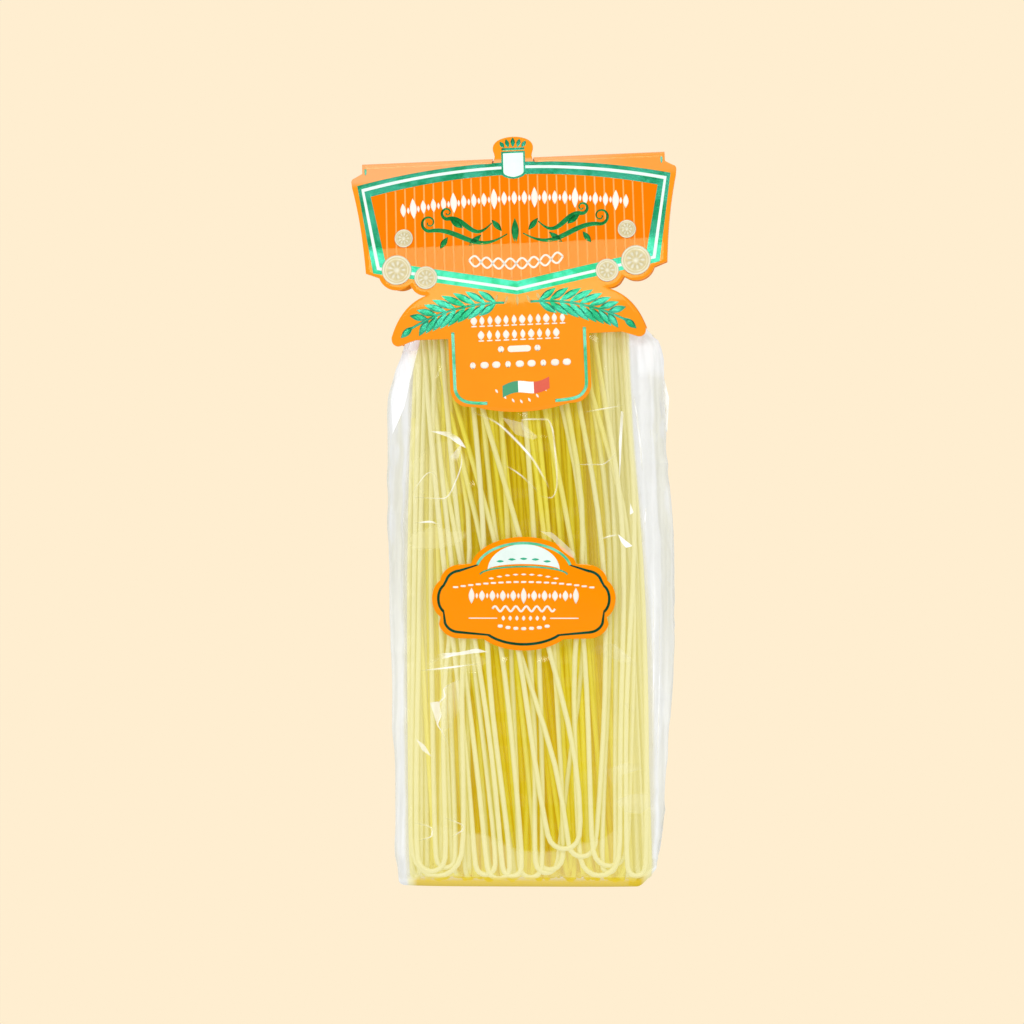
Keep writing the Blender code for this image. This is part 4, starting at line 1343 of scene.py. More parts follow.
def crease_ribs(height):
    """Thin ribs along the creases, front and back: point(s, t) = line(s) + t w(s) normal(s), t from -1 to 1,
    raised by h (1 - |t|), where w tapers as (sin(pi s))^0.5. Gives points, faces and the share of white, a
    painted highlight."""
    points, faces, white_share, first = [], [], [], 0
    for half_width, *places in CREASES:
        keys = np.arange(len(places), dtype=float)
        share = np.linspace(0.0, 1.0, CREASE_POINTS * len(places))
        line = eased(np.column_stack((keys, places)), share * keys[-1])
        slope = np.gradient(line, axis=0)
        slope /= np.hypot(*slope.T)[:, None]
        normal = np.column_stack((-slope[:, 1], slope[:, 0]))
        taper = np.sqrt(np.sin(np.pi * np.clip(share, 0.02, 0.98)))
        across = np.array(CREASE_ACROSS)
        reach = CREASE_SPREAD * half_width * taper
        flat = line[:, None] + (across * reach[:, None])[..., None] * normal[:, None]
        x, z = flat[..., 0], flat[..., 1]
        for side in (-1.0, 1.0):
            depth = face_depth(-side * x, z)
            lifted = film_wave(np.stack((-side * x, side * depth, z), axis=-1)) * height
            y = side * (depth + lifted + CREASE_CLEAR + CREASE_RISE * (1.0 - np.abs(across)))
            points.append(np.stack((-side * x, y, z), axis=-1).reshape(-1, 3))
            faces.append(grid_faces(len(line), len(across), first=first)[:, ::-1])
            least, spread, size = CREASE_PATCHES
            patchy = least + spread * solid_noise(points[-1].reshape(-1, len(across), 3)[:, 2], size, 21)
            bright = (patchy * taper ** 2)[:, None] * (1.0 - np.abs(across) ** 2)
            white_share.append((bright + CREASE_LEAST_WHITE).ravel())
            first += flat[..., 0].size
    return np.vstack(points), faces, np.concatenate(white_share)


def facet_sheets(height):
    """Flat facets on the film, front and back, whose white is a painted reflection of the lights: polar
    patches inside their corners, just outside the film.
    Gives points, faces and the share of white, which fades away where a slow noise is low, but not where
    it is nearly whole."""
    points, faces, white_share, first = [], [], [], 0
    for share, *corners in FACETS:
        edge = along_line(np.array(corners + corners[:1], float), FACET_POINT_GAP)[:-1]
        flat, flat_faces = polar_patch(edge, np.mean(corners, axis=0), FACET_RINGS)
        for side in (-1.0, 1.0):
            x, z = -side * flat[:, 0], flat[:, 1]
            depth = face_depth(x, z)
            lifted = film_wave(np.stack((x, side * depth, z), axis=-1)) * height
            rise = FACET_RISE + LABEL_STACK * label_share(x, z)
            points.append(np.stack((x, side * (depth + lifted + rise), z), axis=-1))
            faces += [part[:, ::-1] + first for part in facing(flat, flat_faces)]
            fade = smooth_step(*FACET_FADE, solid_noise(points[-1], FACET_BLOTCH, 33))
            fade = np.maximum(fade, label_share(x, z))
            white_share.append(share * np.maximum(FACET_STRENGTH * fade, float(share > WHOLE_FACET)))
            first += len(flat)
    return np.vstack(points), faces, np.concatenate(white_share)


class PACK_OT_film(bpy.types.Operator):
    """Shape the clear film bag round the strands, with its gussets, wrinkles, creases and flat base"""

    bl_idname = "pack.film"
    bl_label = "Film bag"

    def execute(self, context):
        settings = context.scene.pack_settings
        height = settings.film_crumple / MM
        side, outward = film_rows()
        white_share, warm = film_haze(side)
        side = side + outward * (film_wave(side) * height)[..., None]
        columns = side.shape[1]
        shares = np.linspace(0.0, 1.0, END_RINGS + 2)[1:-1]
        base_middle, top_middle = side[0].mean(axis=0), side[-1].mean(axis=0)
        base = base_middle + shares[:, None, None] * (side[0] - base_middle)
        top = top_middle + shares[::-1, None, None] * (side[-1] - top_middle)
        body = lift_corner(np.concatenate((base, side, top), axis=0))
        count = len(body) * columns
        faces = [grid_faces(len(body), columns, True),
                 fan_faces(count, np.arange(columns))[:, ::-1],
                 fan_faces(count + 1, np.arange(count - columns, count))]
        piece = new_piece("film_bag", np.vstack((body.reshape(-1, 3), base_middle, top_middle)), faces)
        below, above = END_RINGS * columns, END_RINGS * columns + 2
        for value, values, base_value, top_value in (("white_share", white_share, BASE_HAZE, NECK_HAZE),
                                                     ("warm", warm, BASE_WARM, 0.0)):
            ends = np.full(below, base_value), np.full(above, top_value)
            give_values(piece, value, np.concatenate((ends[0], values.ravel(), ends[1])))
        material = film_material("clear_film", settings.film_haze, *FILM_STREAKS)
        glint = film_material("film_glint", settings.film_haze, *GLINT_STREAKS)
        dress(piece, material, ("bag",))
        # Creases and facets get the glint material, whose white is a painted highlight
        for name, (points, faces, milk_and_shine) in (("film_creases", crease_ribs(height)),
                                            ("film_highlight_facets", facet_sheets(height))):
            shine = new_piece(name, points, faces)
            give_values(shine, "white_share", milk_and_shine)
            give_values(shine, "warm", np.maximum(BUNDLE_WARM - GLINT_LESS_WARM * milk_and_shine, 0.0))
            dress(shine, glint, ("bag",))
        return {"FINISHED"}


# Header card


def to_card(x, z):
    """Card coordinates of a point of the front: distance from the middle line and drop below the fold."""
    across, up = x - FOLD_CENTRE_X, z - FOLD_HEIGHT
    cos, sin = math.cos(CARD_TILT), math.sin(CARD_TILT)
    return across * cos + up * sin, across * sin - up * cos


def card_depth(drop):
    """Distance of a panel's middle surface from the middle plane: a round fold, a straight slope down to a
    crease, and an eased slope below it."""
    inside = 1.0 - (1.0 - np.clip(drop, 0.0, FOLD_DROP) / FOLD_DROP) ** 2
    rounded = CARD_DEPTHS[0][1] * np.sqrt(np.maximum(inside, 0.0))
    upper = np.interp(drop, *np.array(CARD_DEPTHS[:2]).T)
    lower = eased(CARD_DEPTHS[1:], drop)[..., 0]
    return np.where(drop < FOLD_DROP, rounded, np.where(drop < CARD_DEPTHS[1][0], upper, lower))


def place_on_card(points, back=False, lift=0.0, crest=False):
    """Flat card points (u, drop) in space: depth by the card's slope, then the tilt round the fold's middle.

    lift moves a point out from the panel's middle surface. On the crest, the slope of the panel goes on."""
    u, drop = points[:, 0], points[:, 1]
    depth = card_depth(np.abs(drop) if back else drop)
    if crest:
        first = CARD_DEPTHS[0]
        slope = (card_depth(np.array(SLOPE_DROP)) - first[1]) / (SLOPE_DROP - first[0])
        depth = np.where(drop < first[0], first[1] + slope * (drop - first[0]), depth)
    side = 1.0 if back else -1.0
    y = side * (depth + lift)
    rise = -np.where(back, np.abs(drop), drop)
    cos, sin = math.cos(CARD_TILT), math.sin(CARD_TILT)
    return np.column_stack((FOLD_CENTRE_X + u * cos - rise * sin, y, FOLD_HEIGHT + u * sin + rise * cos))


def crest_half_width(rise):
    """Half width of the crest tab at a rise above the fold: a waist, then a domed head."""
    share = (rise + FOLD_DROP) / (CREST_TOP + FOLD_DROP)
    dome = np.clip((share - CREST_WAIST_SHARE) / (1.0 - CREST_WAIST_SHARE), 0.0, 1.0)
    head = np.sqrt(1.0 - dome ** CREST_HEAD_POWER)
    waist = CREST_WAIST * np.sin(np.pi * np.minimum(share / CREST_WAIST_SHARE, 1.0)) ** 2
    return (CREST_HALF - waist) * head


def panel_side():
    """Right edge of the upper panel from the fold's line down to the waist."""
    return chain(straight((FOLD_HALF, FOLD_DROP), (FOLD_HALF, FOLD_CORNER_DROP), 2),
                 arc(*SHOULDER[:2], SHOULDER[2], SHOULDER[2], -80, 20, 5),
                 bow(*SIDE_BOW), arc(*MEDAL_LOBE[:2], MEDAL_LOBE[2], MEDAL_LOBE[2], 18, 132, 16),
                 arc(*SMALL_LOBE[:2], SMALL_LOBE[2], SMALL_LOBE[2], 42, 96, 8), WING_BOW[0])


def lower_side():
    """Right edge of the wing and the tongue from the waist down to the tongue's middle."""
    return chain(bow(*WING_BOW), arc(*WING_TIP[:2], WING_TIP[2], WING_TIP[2], 0, 110, 8), WING_FOOT,
                 arc(*TONGUE_CORNER, 0, 80, 10), bow(*TONGUE_BOW))


def card_patches():
    """Flat patches of the sheet: crest and upper panel, wings and tongue, fold strips, and the back's upper
    panel."""
    rise = np.sin(np.linspace(0.5 * np.pi, 0.0, 13)) * (CREST_TOP + FOLD_DROP) - FOLD_DROP
    crest = np.column_stack((crest_half_width(rise), -rise))
    crest[0, 0] = 0.0
    inner_foot = CREST_HALF + SLIT_WIDTH
    fold_line = straight((inner_foot, FOLD_DROP), (FOLD_HALF, FOLD_DROP), 24)
    waist_line = straight(WING_BOW[0], (0.0, WING_BOW[0][1]), 16)
    side = panel_side()
    front = mirrored(chain(crest, fold_line, side, waist_line))
    lower = mirrored(chain(waist_line[::-1], lower_side()))
    crease = FOLD_DROP * np.sin(np.linspace(-0.5 * np.pi, 0.5 * np.pi, 11))
    last = CREST_TOP + BELOW_SLIT
    drops = np.concatenate((crease, np.linspace(FOLD_DROP, last, 15)[1:]))
    slit = crest_half_width(np.minimum(drops, CREST_TOP)) + SLIT_WIDTH
    inner = np.where(drops < CREST_TOP + SLIT_WIDTH, slit, 0.0)
    inner[0] = inner_foot
    outer = np.interp(drops, side[:14, 1], side[:14, 0], left=FOLD_HALF)
    strip = ruled_patch(np.column_stack((inner, drops)), np.column_stack((outer, drops)), 24)
    other_strip = (strip[0] * (-1.0, 1.0), strip[1])
    below = side[side[:, 1] > last + 0.05]
    back_line = straight((0.0, last), (outer[-1], last), 24)
    back = mirrored(chain(back_line, below, waist_line))
    return front, lower, (strip, other_strip), back


def place_fold(points):
    """The fold strips in space: they run along the fold, and drops below 0 are the front's."""
    flat = np.column_stack((points[:, 0], np.abs(points[:, 1])))
    return np.where(points[:, 1:] < 0.0, place_on_card(flat), place_on_card(flat, back=True))


class PACK_OT_card(bpy.types.Operator):
    """Fold the die-cut header card over the bag's neck"""

    bl_idname = "pack.card"
    bl_label = "Header card"

    def execute(self, context):
        settings = context.scene.pack_settings
        front, lower, strips, back = card_patches()
        parts = []
        for edge, middle, behind, rings in ((front, 8.0, False, 30), (lower, 54.0, False, 24),
                                            (back, 22.0, True, 24), (lower, 54.0, True, 24)):
            points, faces = polar_patch(edge, (0.0, middle), rings)
            faces = facing(points, faces)
            placed = place_on_card(points, back=behind, crest=edge is front)
            parts.append((placed, turned_over(faces) if behind else faces))
        for points, faces in strips:
            parts.append((place_fold(points), turned_over(facing(points, faces))))
        piece = make_sheet("header_card_sheet", parts, CARD_THICKNESS)
        board = card_material("orange_card", settings.card_colour, CARD_GLOSS, FOLD_HIGHLIGHT)
        dress(piece, board, ("header_card",))
        return {"FINISHED"}


# Print on the card


def moved_in(place, inset):
    """A point of the frame, moved in by its share of the inset."""
    return tuple(start + share * inset for start, share in zip(*place))


def frame_line(inset):
    """Right half of the panel's frame, moved in: an arched top, a straight side with a point on the panel's
    crease, and a shallow V below."""
    corner, foot = moved_in(FRAME_CORNER_PLACE, inset), moved_in(FRAME_FOOT_PLACE, inset)
    tip = (0.0, FRAME_TIP[0] + FRAME_TIP[1] * inset)
    crown = FRAME_CROWN + inset
    half_top = np.linspace(0.0, corner[0], FRAME_CORNER + 1)
    top = np.column_stack((half_top, crown + (corner[1] - crown) * (half_top / corner[0]) ** 2))
    share = (CARD_DEPTHS[1][0] - corner[1]) / (foot[1] - corner[1])
    bend = (corner[0] + share * (foot[0] - corner[0]), CARD_DEPTHS[1][0])
    return chain(top, straight(corner, bend, FRAME_BEND - FRAME_CORNER),
                 straight(bend, foot, FRAME_FOOT - FRAME_BEND), straight(foot, tip, 24))


def frame_band(*insets):
    """A flat band between the frame's closed lines at two insets: each is a right half and its mirror."""
    halves = [frame_line(inset) for inset in insets]
    return ruled_patch(*(np.vstack((half, half[-2::-1] * (-1.0, 1.0))) for half in halves), 1)


def lens_patch(x, drop, length, width, turn):
    """A pointed leaf: half width w cos(pi s) for s from -1/2 to 1/2 along its length, turned by degrees."""
    share = np.linspace(-0.5, 0.5, 13)
    spread = 0.5 * width * np.cos(np.pi * share)
    edge = np.vstack((np.column_stack((share * length, spread)),
                      np.column_stack((share[::-1] * length, -spread[::-1]))[1:-1]))
    cos, sin = math.cos(math.radians(turn)), math.sin(math.radians(turn))
    edge = edge @ np.array(((cos, sin), (-sin, cos))) + (x, drop)
    return polar_patch(edge, (x, drop), 2)


def bar_patch(x, drop, width, height):
    """A bar with round ends."""
    radius = 0.5 * min(width, height)
    reach = 0.5 * width - radius
    edge = np.vstack((arc(x + reach, drop, radius, 0.5 * height, -90, 90, 6),
                      arc(x - reach, drop, radius, 0.5 * height, 90, 270, 6)))
    return polar_patch(edge, (x, drop), 2)


def mark_row(kind, count, pitch, drop, sag, *size):
    """An odd number of like marks about the middle line, with centres (u, drop - sag u^2)."""
    mark = {"leaf": lens_patch, "bar": bar_patch}[kind]
    return [mark(u, drop - sag * u * u, *size) for u in pitch * (np.arange(count) - count // 2)]


def both_sides(patches):
    """The patches and their mirror images."""
    return [patch for points, faces in patches for patch in ((points, faces), (points * (-1.0, 1.0), faces))]


def pinstripes():
    """Thin upright stripes inside the frame, bent at the panel's crease."""
    inner = frame_line(FOIL_BANDS[1][1])
    stripes = []
    for index in range(-STRIPE_COUNT // 2, STRIPE_COUNT // 2):
        u = STRIPE_PITCH * (index + 0.5)
        top = np.interp(abs(u), *inner[:FRAME_CORNER + 1].T)
        low = np.interp(abs(u), *inner[:FRAME_FOOT - 1:-1].T)
        bend = (u, CARD_DEPTHS[1][0])
        line = chain(straight((u, top + STRIPE_GAP), bend, 20), straight(bend, (u, low - STRIPE_GAP), 10))
        stripes.append(ribbon_patch(line, STRIPE_HALF_WIDTH))
    return stripes


def title_row():
    """A bowed row of upright leaves, tall ones among low ones, with a small one after each but the last."""
    marks = []
    for index in range(-TITLE_LAST, TITLE_LAST + 1):
        u = TITLE_PITCH * index
        drop = TITLE_DROP + TITLE_SAG * (u / TITLE_HALF) ** 2
        turn = 90.0 + TITLE_LEAN * u / TITLE_HALF
        size = TALL_MARK if abs(index) in TALL_PLACES else LOW_MARK
        marks.append(lens_patch(u, drop, *size, turn))
        if index < TITLE_LAST:
            marks.append(lens_patch(u + 0.5 * TITLE_PITCH, drop + 0.2, *SMALL_MARK, turn))
    return marks


def scroll_line(start, turn_radius, turns, tail):
    """A scroll: a fading wave 3.4 sin(1.6 pi t) (1 - 0.3 t), then a spiral r = R (1 - 0.82 t)."""
    t = np.linspace(0.0, 1.0, 70)
    wave = np.column_stack((start[0] + tail * t, start[1] + 3.4 * np.sin(1.6 * np.pi * t) * (1.0 - 0.3 * t)))
    centre = wave[-1] + (0.0, -turn_radius)
    spin = np.linspace(0.0, 2.0 * np.pi * turns, 60)
    radius = turn_radius * (1.0 - 0.82 * spin / spin[-1])
    curl = centre + np.column_stack((np.sin(spin) * radius, np.cos(spin) * radius))
    return chain(wave, curl)


def scroll_ornament():
    """Two scrolls a side, thickest in the middle, with leaves beside them and one between the sides."""
    patches = []
    for scroll in SCROLLS:
        line = along_line(scroll_line(*scroll), 0.7)
        width = 0.25 + 0.75 * np.sin(np.pi * np.linspace(0.0, 1.0, len(line)) ** 0.8) ** 2
        patches.append(ribbon_patch(line, 0.98 * width))
    for *leaf, turn in SCROLL_LEAVES:
        patches.append(lens_patch(*leaf, SCROLL_LEAF_WIDTH, turn))
    return [*both_sides(patches), lens_patch(*MIDDLE_LEAF)]


def twist():
    """Two waves that cross each other, h sin(8 pi t) and its opposite, along a line bowed up at its ends."""
    t = np.linspace(0.0, 1.0, 90)
    bowed = TWIST_DROP - TWIST_HEIGHT * (2.0 * t - 1.0) ** 2
    waves = [bowed + TWIST_HEIGHT * np.sin(8.0 * np.pi * t + phase) for phase in (0.0, np.pi)]
    return [ribbon_patch(np.column_stack((TWIST_LENGTH * (t - 0.5), wave)), TWIST_LINE) for wave in waves]


def tongue_marks():
    """Rows of leaves and bars on the tongue."""
    marks = []
    for drop, span, height, count in TONGUE_ROWS:
        for index in range(count):
            u = span * ((index + 0.5) / count - 0.5)
            marks.append(lens_patch(u, drop, height, TONGUE_MARK_WIDTHS[index % 3], 90))
            marks.append(bar_patch(u, drop + 2.1, 0.7 * span / count, 0.5))
    marks += [bar_patch(*bar) for bar in TONGUE_BARS]
    drop, pitch, count = TONGUE_LAST_ROW
    for index in range(count):
        marks.append(bar_patch(pitch * (index - count // 2), drop, TONGUE_LAST_WIDTHS[index % 3], 2.5))
    return marks + mark_row("leaf", 7, 3.1, 93.4, 0.05, 1.8, 0.8, 60)


def print_shapes():
    """All print of one card face as flat patches, by ink."""
    tan_leaves = both_sides([lens_patch(*leaf, 1.1, 70) for leaf in TAN_LEAVES])
    return {"foil": [frame_band(*band) for band in FOIL_BANDS] + both_sides(wing_spray()) + crest_shapes(),
            "swash": scroll_ornament(),
            "bright_foil": tongue_line() + both_sides([bar_patch(*FOLD_TICK)]),
            "ink": title_row() + twist() + tongue_marks(),
            "frame": [frame_band(*PALE_BAND)],
            "stripes": pinstripes(),
            "gold_marks": tan_leaves + [lens_patch(*TAN_MIDDLE)]}


def field_patches():
    """The deeper orange inside the frame, above and below the panel's crease."""
    line = frame_line(FIELD_INSET)
    bend, middle = line[FRAME_BEND], (0.0, CARD_DEPTHS[1][0])
    above = chain(line[:FRAME_BEND], straight(bend, middle, 30))
    below = chain(straight(middle, bend, 30), line[FRAME_BEND + 1:])
    return [polar_patch(mirrored(above), (0.0, 18.0), 24), polar_patch(mirrored(below), (0.0, 42.0), 12)]


def tongue_line():
    """Foil line along the tongue's sides and round its lower corners."""
    side = chain(straight(*TONGUE_LINE_SIDE, 20), arc(*TONGUE_LINE_CORNER, 0, 72, 10),
                 bow(*TONGUE_LINE_END, 6))
    return both_sides([ribbon_patch(along_line(side, 0.8), 0.6)])


def wing_spray():
    """A spray on a wing: a bowed stem with pairs of lens leaves, largest in the middle."""
    stem = bow(*SPRAY_STEM, 40)
    patches = [ribbon_patch(stem, 0.45)]
    for index in range(SPRAY_LEAVES):
        point = 3 + 4 * index
        slope = stem[point + 1] - stem[point - 1]
        size = SPRAY_LEAF[0] - 0.5 * abs(index - 3) ** 1.3
        for side in (-1.0, 1.0):
            angle = math.atan2(slope[1], slope[0]) + math.radians(SPRAY_ANGLE * side)
            x, drop = stem[point] + 0.52 * size * np.array((math.cos(angle), math.sin(angle)))
            patches.append(lens_patch(x, drop, size, SPRAY_LEAF[1], math.degrees(angle)))
    return [*patches, lens_patch(*SPRAY_END)]


def crest_shapes():
    """Small foil ornament on the crest: five leaves over a bar."""
    beside = [lens_patch(*leaf) for leaf in CREST_SIDE_LEAVES]
    return [bar_patch(*CREST_BAR), lens_patch(*CREST_LEAF), *both_sides(beside)]


def shield_line(inset):
    """Shield outline: flat top, straight sides, a soft point below."""
    half, top = SHIELD_HALF - inset, SHIELD_TOP + inset
    straight_end, elbow, point = (level - inset for level in SHIELD_LEVELS)
    right = chain((0.0, top), (half, top), straight((half, top), (half, straight_end), 6),
                  bow((half, straight_end), (half, elbow), (0.0, point), 6))
    return mirrored(right)


def ribbon_bands():
    """A waving ribbon in three bands: a sloping line and a wave sin(2 pi t) for t from -1/2 to 1/2."""
    t = np.linspace(-0.5, 0.5, 25)
    wave = RIBBON_WAVE * np.sin(2.0 * np.pi * t)
    line = np.column_stack((RIBBON_LENGTH * t, wave - RIBBON_SLOPE * RIBBON_LENGTH * t)) + RIBBON_MIDDLE
    half = (0.0, RIBBON_HALF_HEIGHT)
    return [ruled_patch(run - half, run + half, 3) for run in (line[:9], line[8:17], line[16:])]


def medal_points(x, drop, radius):
    """An embossed disc: a raised rim, a ring of petals cos(9 a) and a boss, as relief over polar rings."""
    rings, steps = 16, 72
    share = np.linspace(0.0, 1.0, rings + 1)[1:]
    angle = 2.0 * np.pi * np.arange(steps) / steps
    reach = radius * share[:, None]
    flat = np.stack((x + reach * np.cos(angle), drop + reach * np.sin(angle)), -1)
    rim = np.exp(-((share - 0.92) / 0.06) ** 2) + 0.6 * np.exp(-((share - 0.74) / 0.04) ** 2)
    petals = 0.5 * (1.0 + np.cos(9.0 * angle))[None] * np.exp(-((share[:, None] - 0.46) / 0.16) ** 2)
    boss = np.exp(-(share / 0.18) ** 2)[:, None]
    relief = rim[:, None] + 0.9 * petals + boss
    points = np.vstack(((x, drop), flat.reshape(-1, 2)))
    relief = np.concatenate(([1.0], relief.ravel()))
    faces = [fan_faces(0, np.arange(1, steps + 1)), grid_faces(rings, steps, True, 1)[:, ::-1]]
    return points, faces, relief


def disc_sheet(name, back):
    """The embossed discs of one face as one sheet, which carries their relief as an attribute."""
    parts, reliefs = [], []
    for x, drop, radius in MEDALS:
        for side in (-1.0, 1.0):
            points, faces, relief = medal_points(side * x, drop, radius)
            placed = place_on_card(points, back, CARD_SURFACE + MEDAL_LIFT + MEDAL_RELIEF * relief)
            parts.append((placed, turned_over(faces) if back else faces))
            reliefs.append(relief)
    discs = make_sheet(name, parts, MEDAL_THICKNESS, weld=False)
    give_values(discs, "relief", np.concatenate(reliefs))
    return discs


def print_piece(name, patches, lift, place=place_on_card, **where):
    """One thin printed piece from flat patches, laid on the card or the label and a little proud of it."""
    points, faces = stack_patches(patches)
    placed = place(points, lift=lift, **where)
    if where.get("back"):
        faces = turned_over(faces)
    return make_sheet(name, [(placed, faces)], PRINT_THICKNESS, weld=False)


def lay_print(name, patches, back, material, slot, lift):
    """One kind of the card's print, laid on the front or the back panel and dressed."""
    piece = print_piece(name, patches, CARD_SURFACE + lift, back=back, crest=not back)
    dress(piece, material)


class PACK_OT_card_print(bpy.types.Operator):
    """Print the card: frame, pinstripes, ornaments, discs and ribbon, on the front and the back"""

    bl_idname = "pack.card_print"
    bl_label = "Card print"

    def execute(self, context):
        settings = context.scene.pack_settings
        foil = shared(foil_material, "green_foil", settings.foil_colour)
        bright = shared(foil_material, "bright_green_foil", BRIGHT_FOIL, BRIGHT_METALLIC)
        ink = shared(ink_material, "pale_ink", settings.ink_colour)
        inks = {"foil": (foil, "foil", FOIL_LIFT),
                "swash": (foil_material("script_foil", SCRIPT_FOIL), "foil", FOIL_LIFT),
                "bright_foil": (bright, "foil", FOIL_LIFT),
                "ink": (ink, "ink", INK_LIFT),
                "frame": (shared(ink_material, "frame_ink", FRAME_INK), "ink", INK_LIFT),
                "stripes": (ink_material("stripe_ink", STRIPE_INK), "card", STRIPE_LIFT),
                "gold_marks": (ink_material("tan_ink", TAN_INK), "gold", TAN_LIFT)}
        orange = card_material("orange_field", settings.field_colour, CARD_GLOSS)
        gold = gold_material(settings.gold_colour)
        shield_ink = ink_material("pale_green_ink", SHIELD_INK)
        for face, back in (("front", False), ("back", True)):
            lay_print(f"card_field_{face}", field_patches(), back, orange, "card", FIELD_LIFT)
            for kind, patches in print_shapes().items():
                if back:
                    patches = [patch for patch in patches if kind != "foil" or patch[0][:, 1].min() > 0.0]
                lay_print(f"card_{kind}_{face}", patches, back, *inks[kind])
            if not back:
                outer, inner = shield_line(0.0), shield_line(SHIELD_RIM)
                rim = ruled_patch(np.vstack((outer, outer[:1])), np.vstack((inner, inner[:1])), 1)
                lay_print("shield_rim", [rim], back, foil, "foil", TOP_FOIL_LIFT)
                field = polar_patch(inner, (0.0, 2.0), 4)
                lay_print("shield_field", [field], back, shield_ink, "ink", TOP_INK_LIFT)
            dress(disc_sheet(f"discs_{face}", back), gold)
            for (name, colour), band in zip(RIBBON_INKS, ribbon_bands()):
                band_ink = shared(ink_material, f"ribbon_{name}_ink", colour)
                lay_print(f"ribbon_{name}_{face}", [band], back, band_ink, "ink", TOP_INK_LIFT)
        return {"FINISHED"}


# Front label


def label_edge(inset=0.0):
    """Right half of the label's outline from its top to its bottom, from arcs of five ellipses."""
    runs = []
    for ellipse, start, end, steps in ((LABEL_DOME, 90, 12, DOME_STEPS), (LABEL_SHOULDER, 82, 14, 10),
                                       (LABEL_LOBE, 62, -62, 16), (LABEL_FOOT, -14, -82, 10),
                                       (LABEL_BULGE, -40, -90, 12)):
        x, z, radius_x, radius_z = ellipse
        runs.append(arc(x, z, radius_x - inset, radius_z - inset, start, end, steps))
    line = chain(*runs)
    line[0, 0] = 0.0
    line[-1, 0] = 0.0
    return line


def place_on_label(points, lift=0.0):
    """Flat label points in space, on the bag's front."""
    x, z = points[:, 0] + LABEL_CENTRE[0], points[:, 1] + LABEL_CENTRE[1]
    return np.column_stack((x, -face_depth(x, z) - LABEL_GAP - LABEL_SURFACE - lift, z))


def label_marks():
    """Rows of marks on the label from top to bottom, with a wave below the large ones."""
    marks = [mark for row in UPPER_ROWS for mark in mark_row(*row)]
    height, pitch, count = LARGE_ROW
    tall, low, small = LARGE_MARKS
    for index in range(count):
        u = pitch * (index - count // 2)
        marks.append(lens_patch(u, height, *(low if index % 5 else tall)))
        if index < count - 1:
            marks.append(lens_patch(u + 0.5 * pitch, height, *small))
    half, height, rise, half_width = LABEL_WAVE
    t = np.linspace(-1.0, 1.0, 60)
    wave = np.column_stack((half * t, height + rise * np.sin(6.0 * np.pi * t)))
    marks.append(ribbon_patch(wave, half_width))
    return marks + mark_row(*LEAF_ROW) + both_sides([bar_patch(*SIDE_BAR)]) + mark_row(*LAST_ROW)


def label_shapes():
    """All print of the label as flat patches, by piece."""
    outer, inner = (label_edge(inset) for inset in RULE_INSETS)
    half, tall, low = MOON_RADII
    moon = [arc(*MOON_MIDDLE, half, radius, 180, 0, 30) for radius in (low, tall)]
    under = ribbon_patch(along_line(arc(*UNDER_DOME, 176, 4, 40), 0.8), UNDER_HALF_WIDTH)
    return {"foil": [under, *mark_row(*DOME_ROW)],
            "dome": both_sides([ruled_patch(outer[:DOME_STEPS + 1], inner[:DOME_STEPS + 1], 1)]),
            "rule": both_sides([ruled_patch(outer[DOME_STEPS:], inner[DOME_STEPS:], 1)]),
            "moon": [ruled_patch(*moon, 5)],
            "ink": label_marks()}


class PACK_OT_label(bpy.types.Operator):
    """Lay the die-cut front label and its print on the film"""

    bl_idname = "pack.label"
    bl_label = "Front label"

    def execute(self, context):
        settings = context.scene.pack_settings
        points, faces = stack_patches([polar_patch(mirrored(label_edge()), (0.0, 0.0), 14)])
        sheet = make_sheet("label_sheet", [(place_on_label(points), faces)], LABEL_THICKNESS)
        paper = card_material("orange_label", settings.label_colour, LABEL_GLOSS)
        dress(sheet, paper, ("front_label",))
        foil = shared(foil_material, "green_foil", settings.foil_colour)
        bright = shared(foil_material, "bright_green_foil", BRIGHT_FOIL, BRIGHT_METALLIC)
        dark = foil_material("deep_green_foil", RULE_FOIL)
        pale = shared(ink_material, "frame_ink", FRAME_INK)
        ink = shared(ink_material, "pale_ink", settings.ink_colour)
        inks = {"foil": (foil, "foil", LABEL_FOIL_LIFT), "dome": (bright, "foil", LABEL_FOIL_LIFT),
                "rule": (dark, "foil", LABEL_FOIL_LIFT), "moon": (pale, "ink", LABEL_INK_LIFT),
                "ink": (ink, "ink", LABEL_INK_LIFT)}
        for kind, patches in label_shapes().items():
            material, slot, lift = inks[kind]
            piece = print_piece(f"label_{kind}", patches, LABEL_SURFACE + lift, place_on_label)
            dress(piece, material)
        return {"FINISHED"}


# Stage


def backdrop_material(colour):
    """A plain pale sweep that gives out its own light: its colour straight to the camera, a pale grey
    through film, and nearly white to the pieces around it."""
    material, tree = new_material("pale_sweep")
    path = add_node(tree, "LightPath").outputs
    plainly = maths(tree, "LESS_THAN", path["Transparent Depth"], 0.5)
    backing = mix_colour(tree, plainly, (FILM_BACKING,) * 3, colour)
    shown = add_node(tree, "Emission", {"Color": backing, "Strength": 1.0})
    white = add_node(tree, "Emission", {"Color": (1.0, 1.0, 1.0, 1.0), "Strength": UNSEEN_SWEEP})
    mixed = add_node(tree, "MixShader", {0: path["Is Camera Ray"], 1: white.outputs[0],
                                         2: shown.outputs[0]})
    add_node(tree, "OutputMaterial", {0: mixed.outputs[0]})
    return material


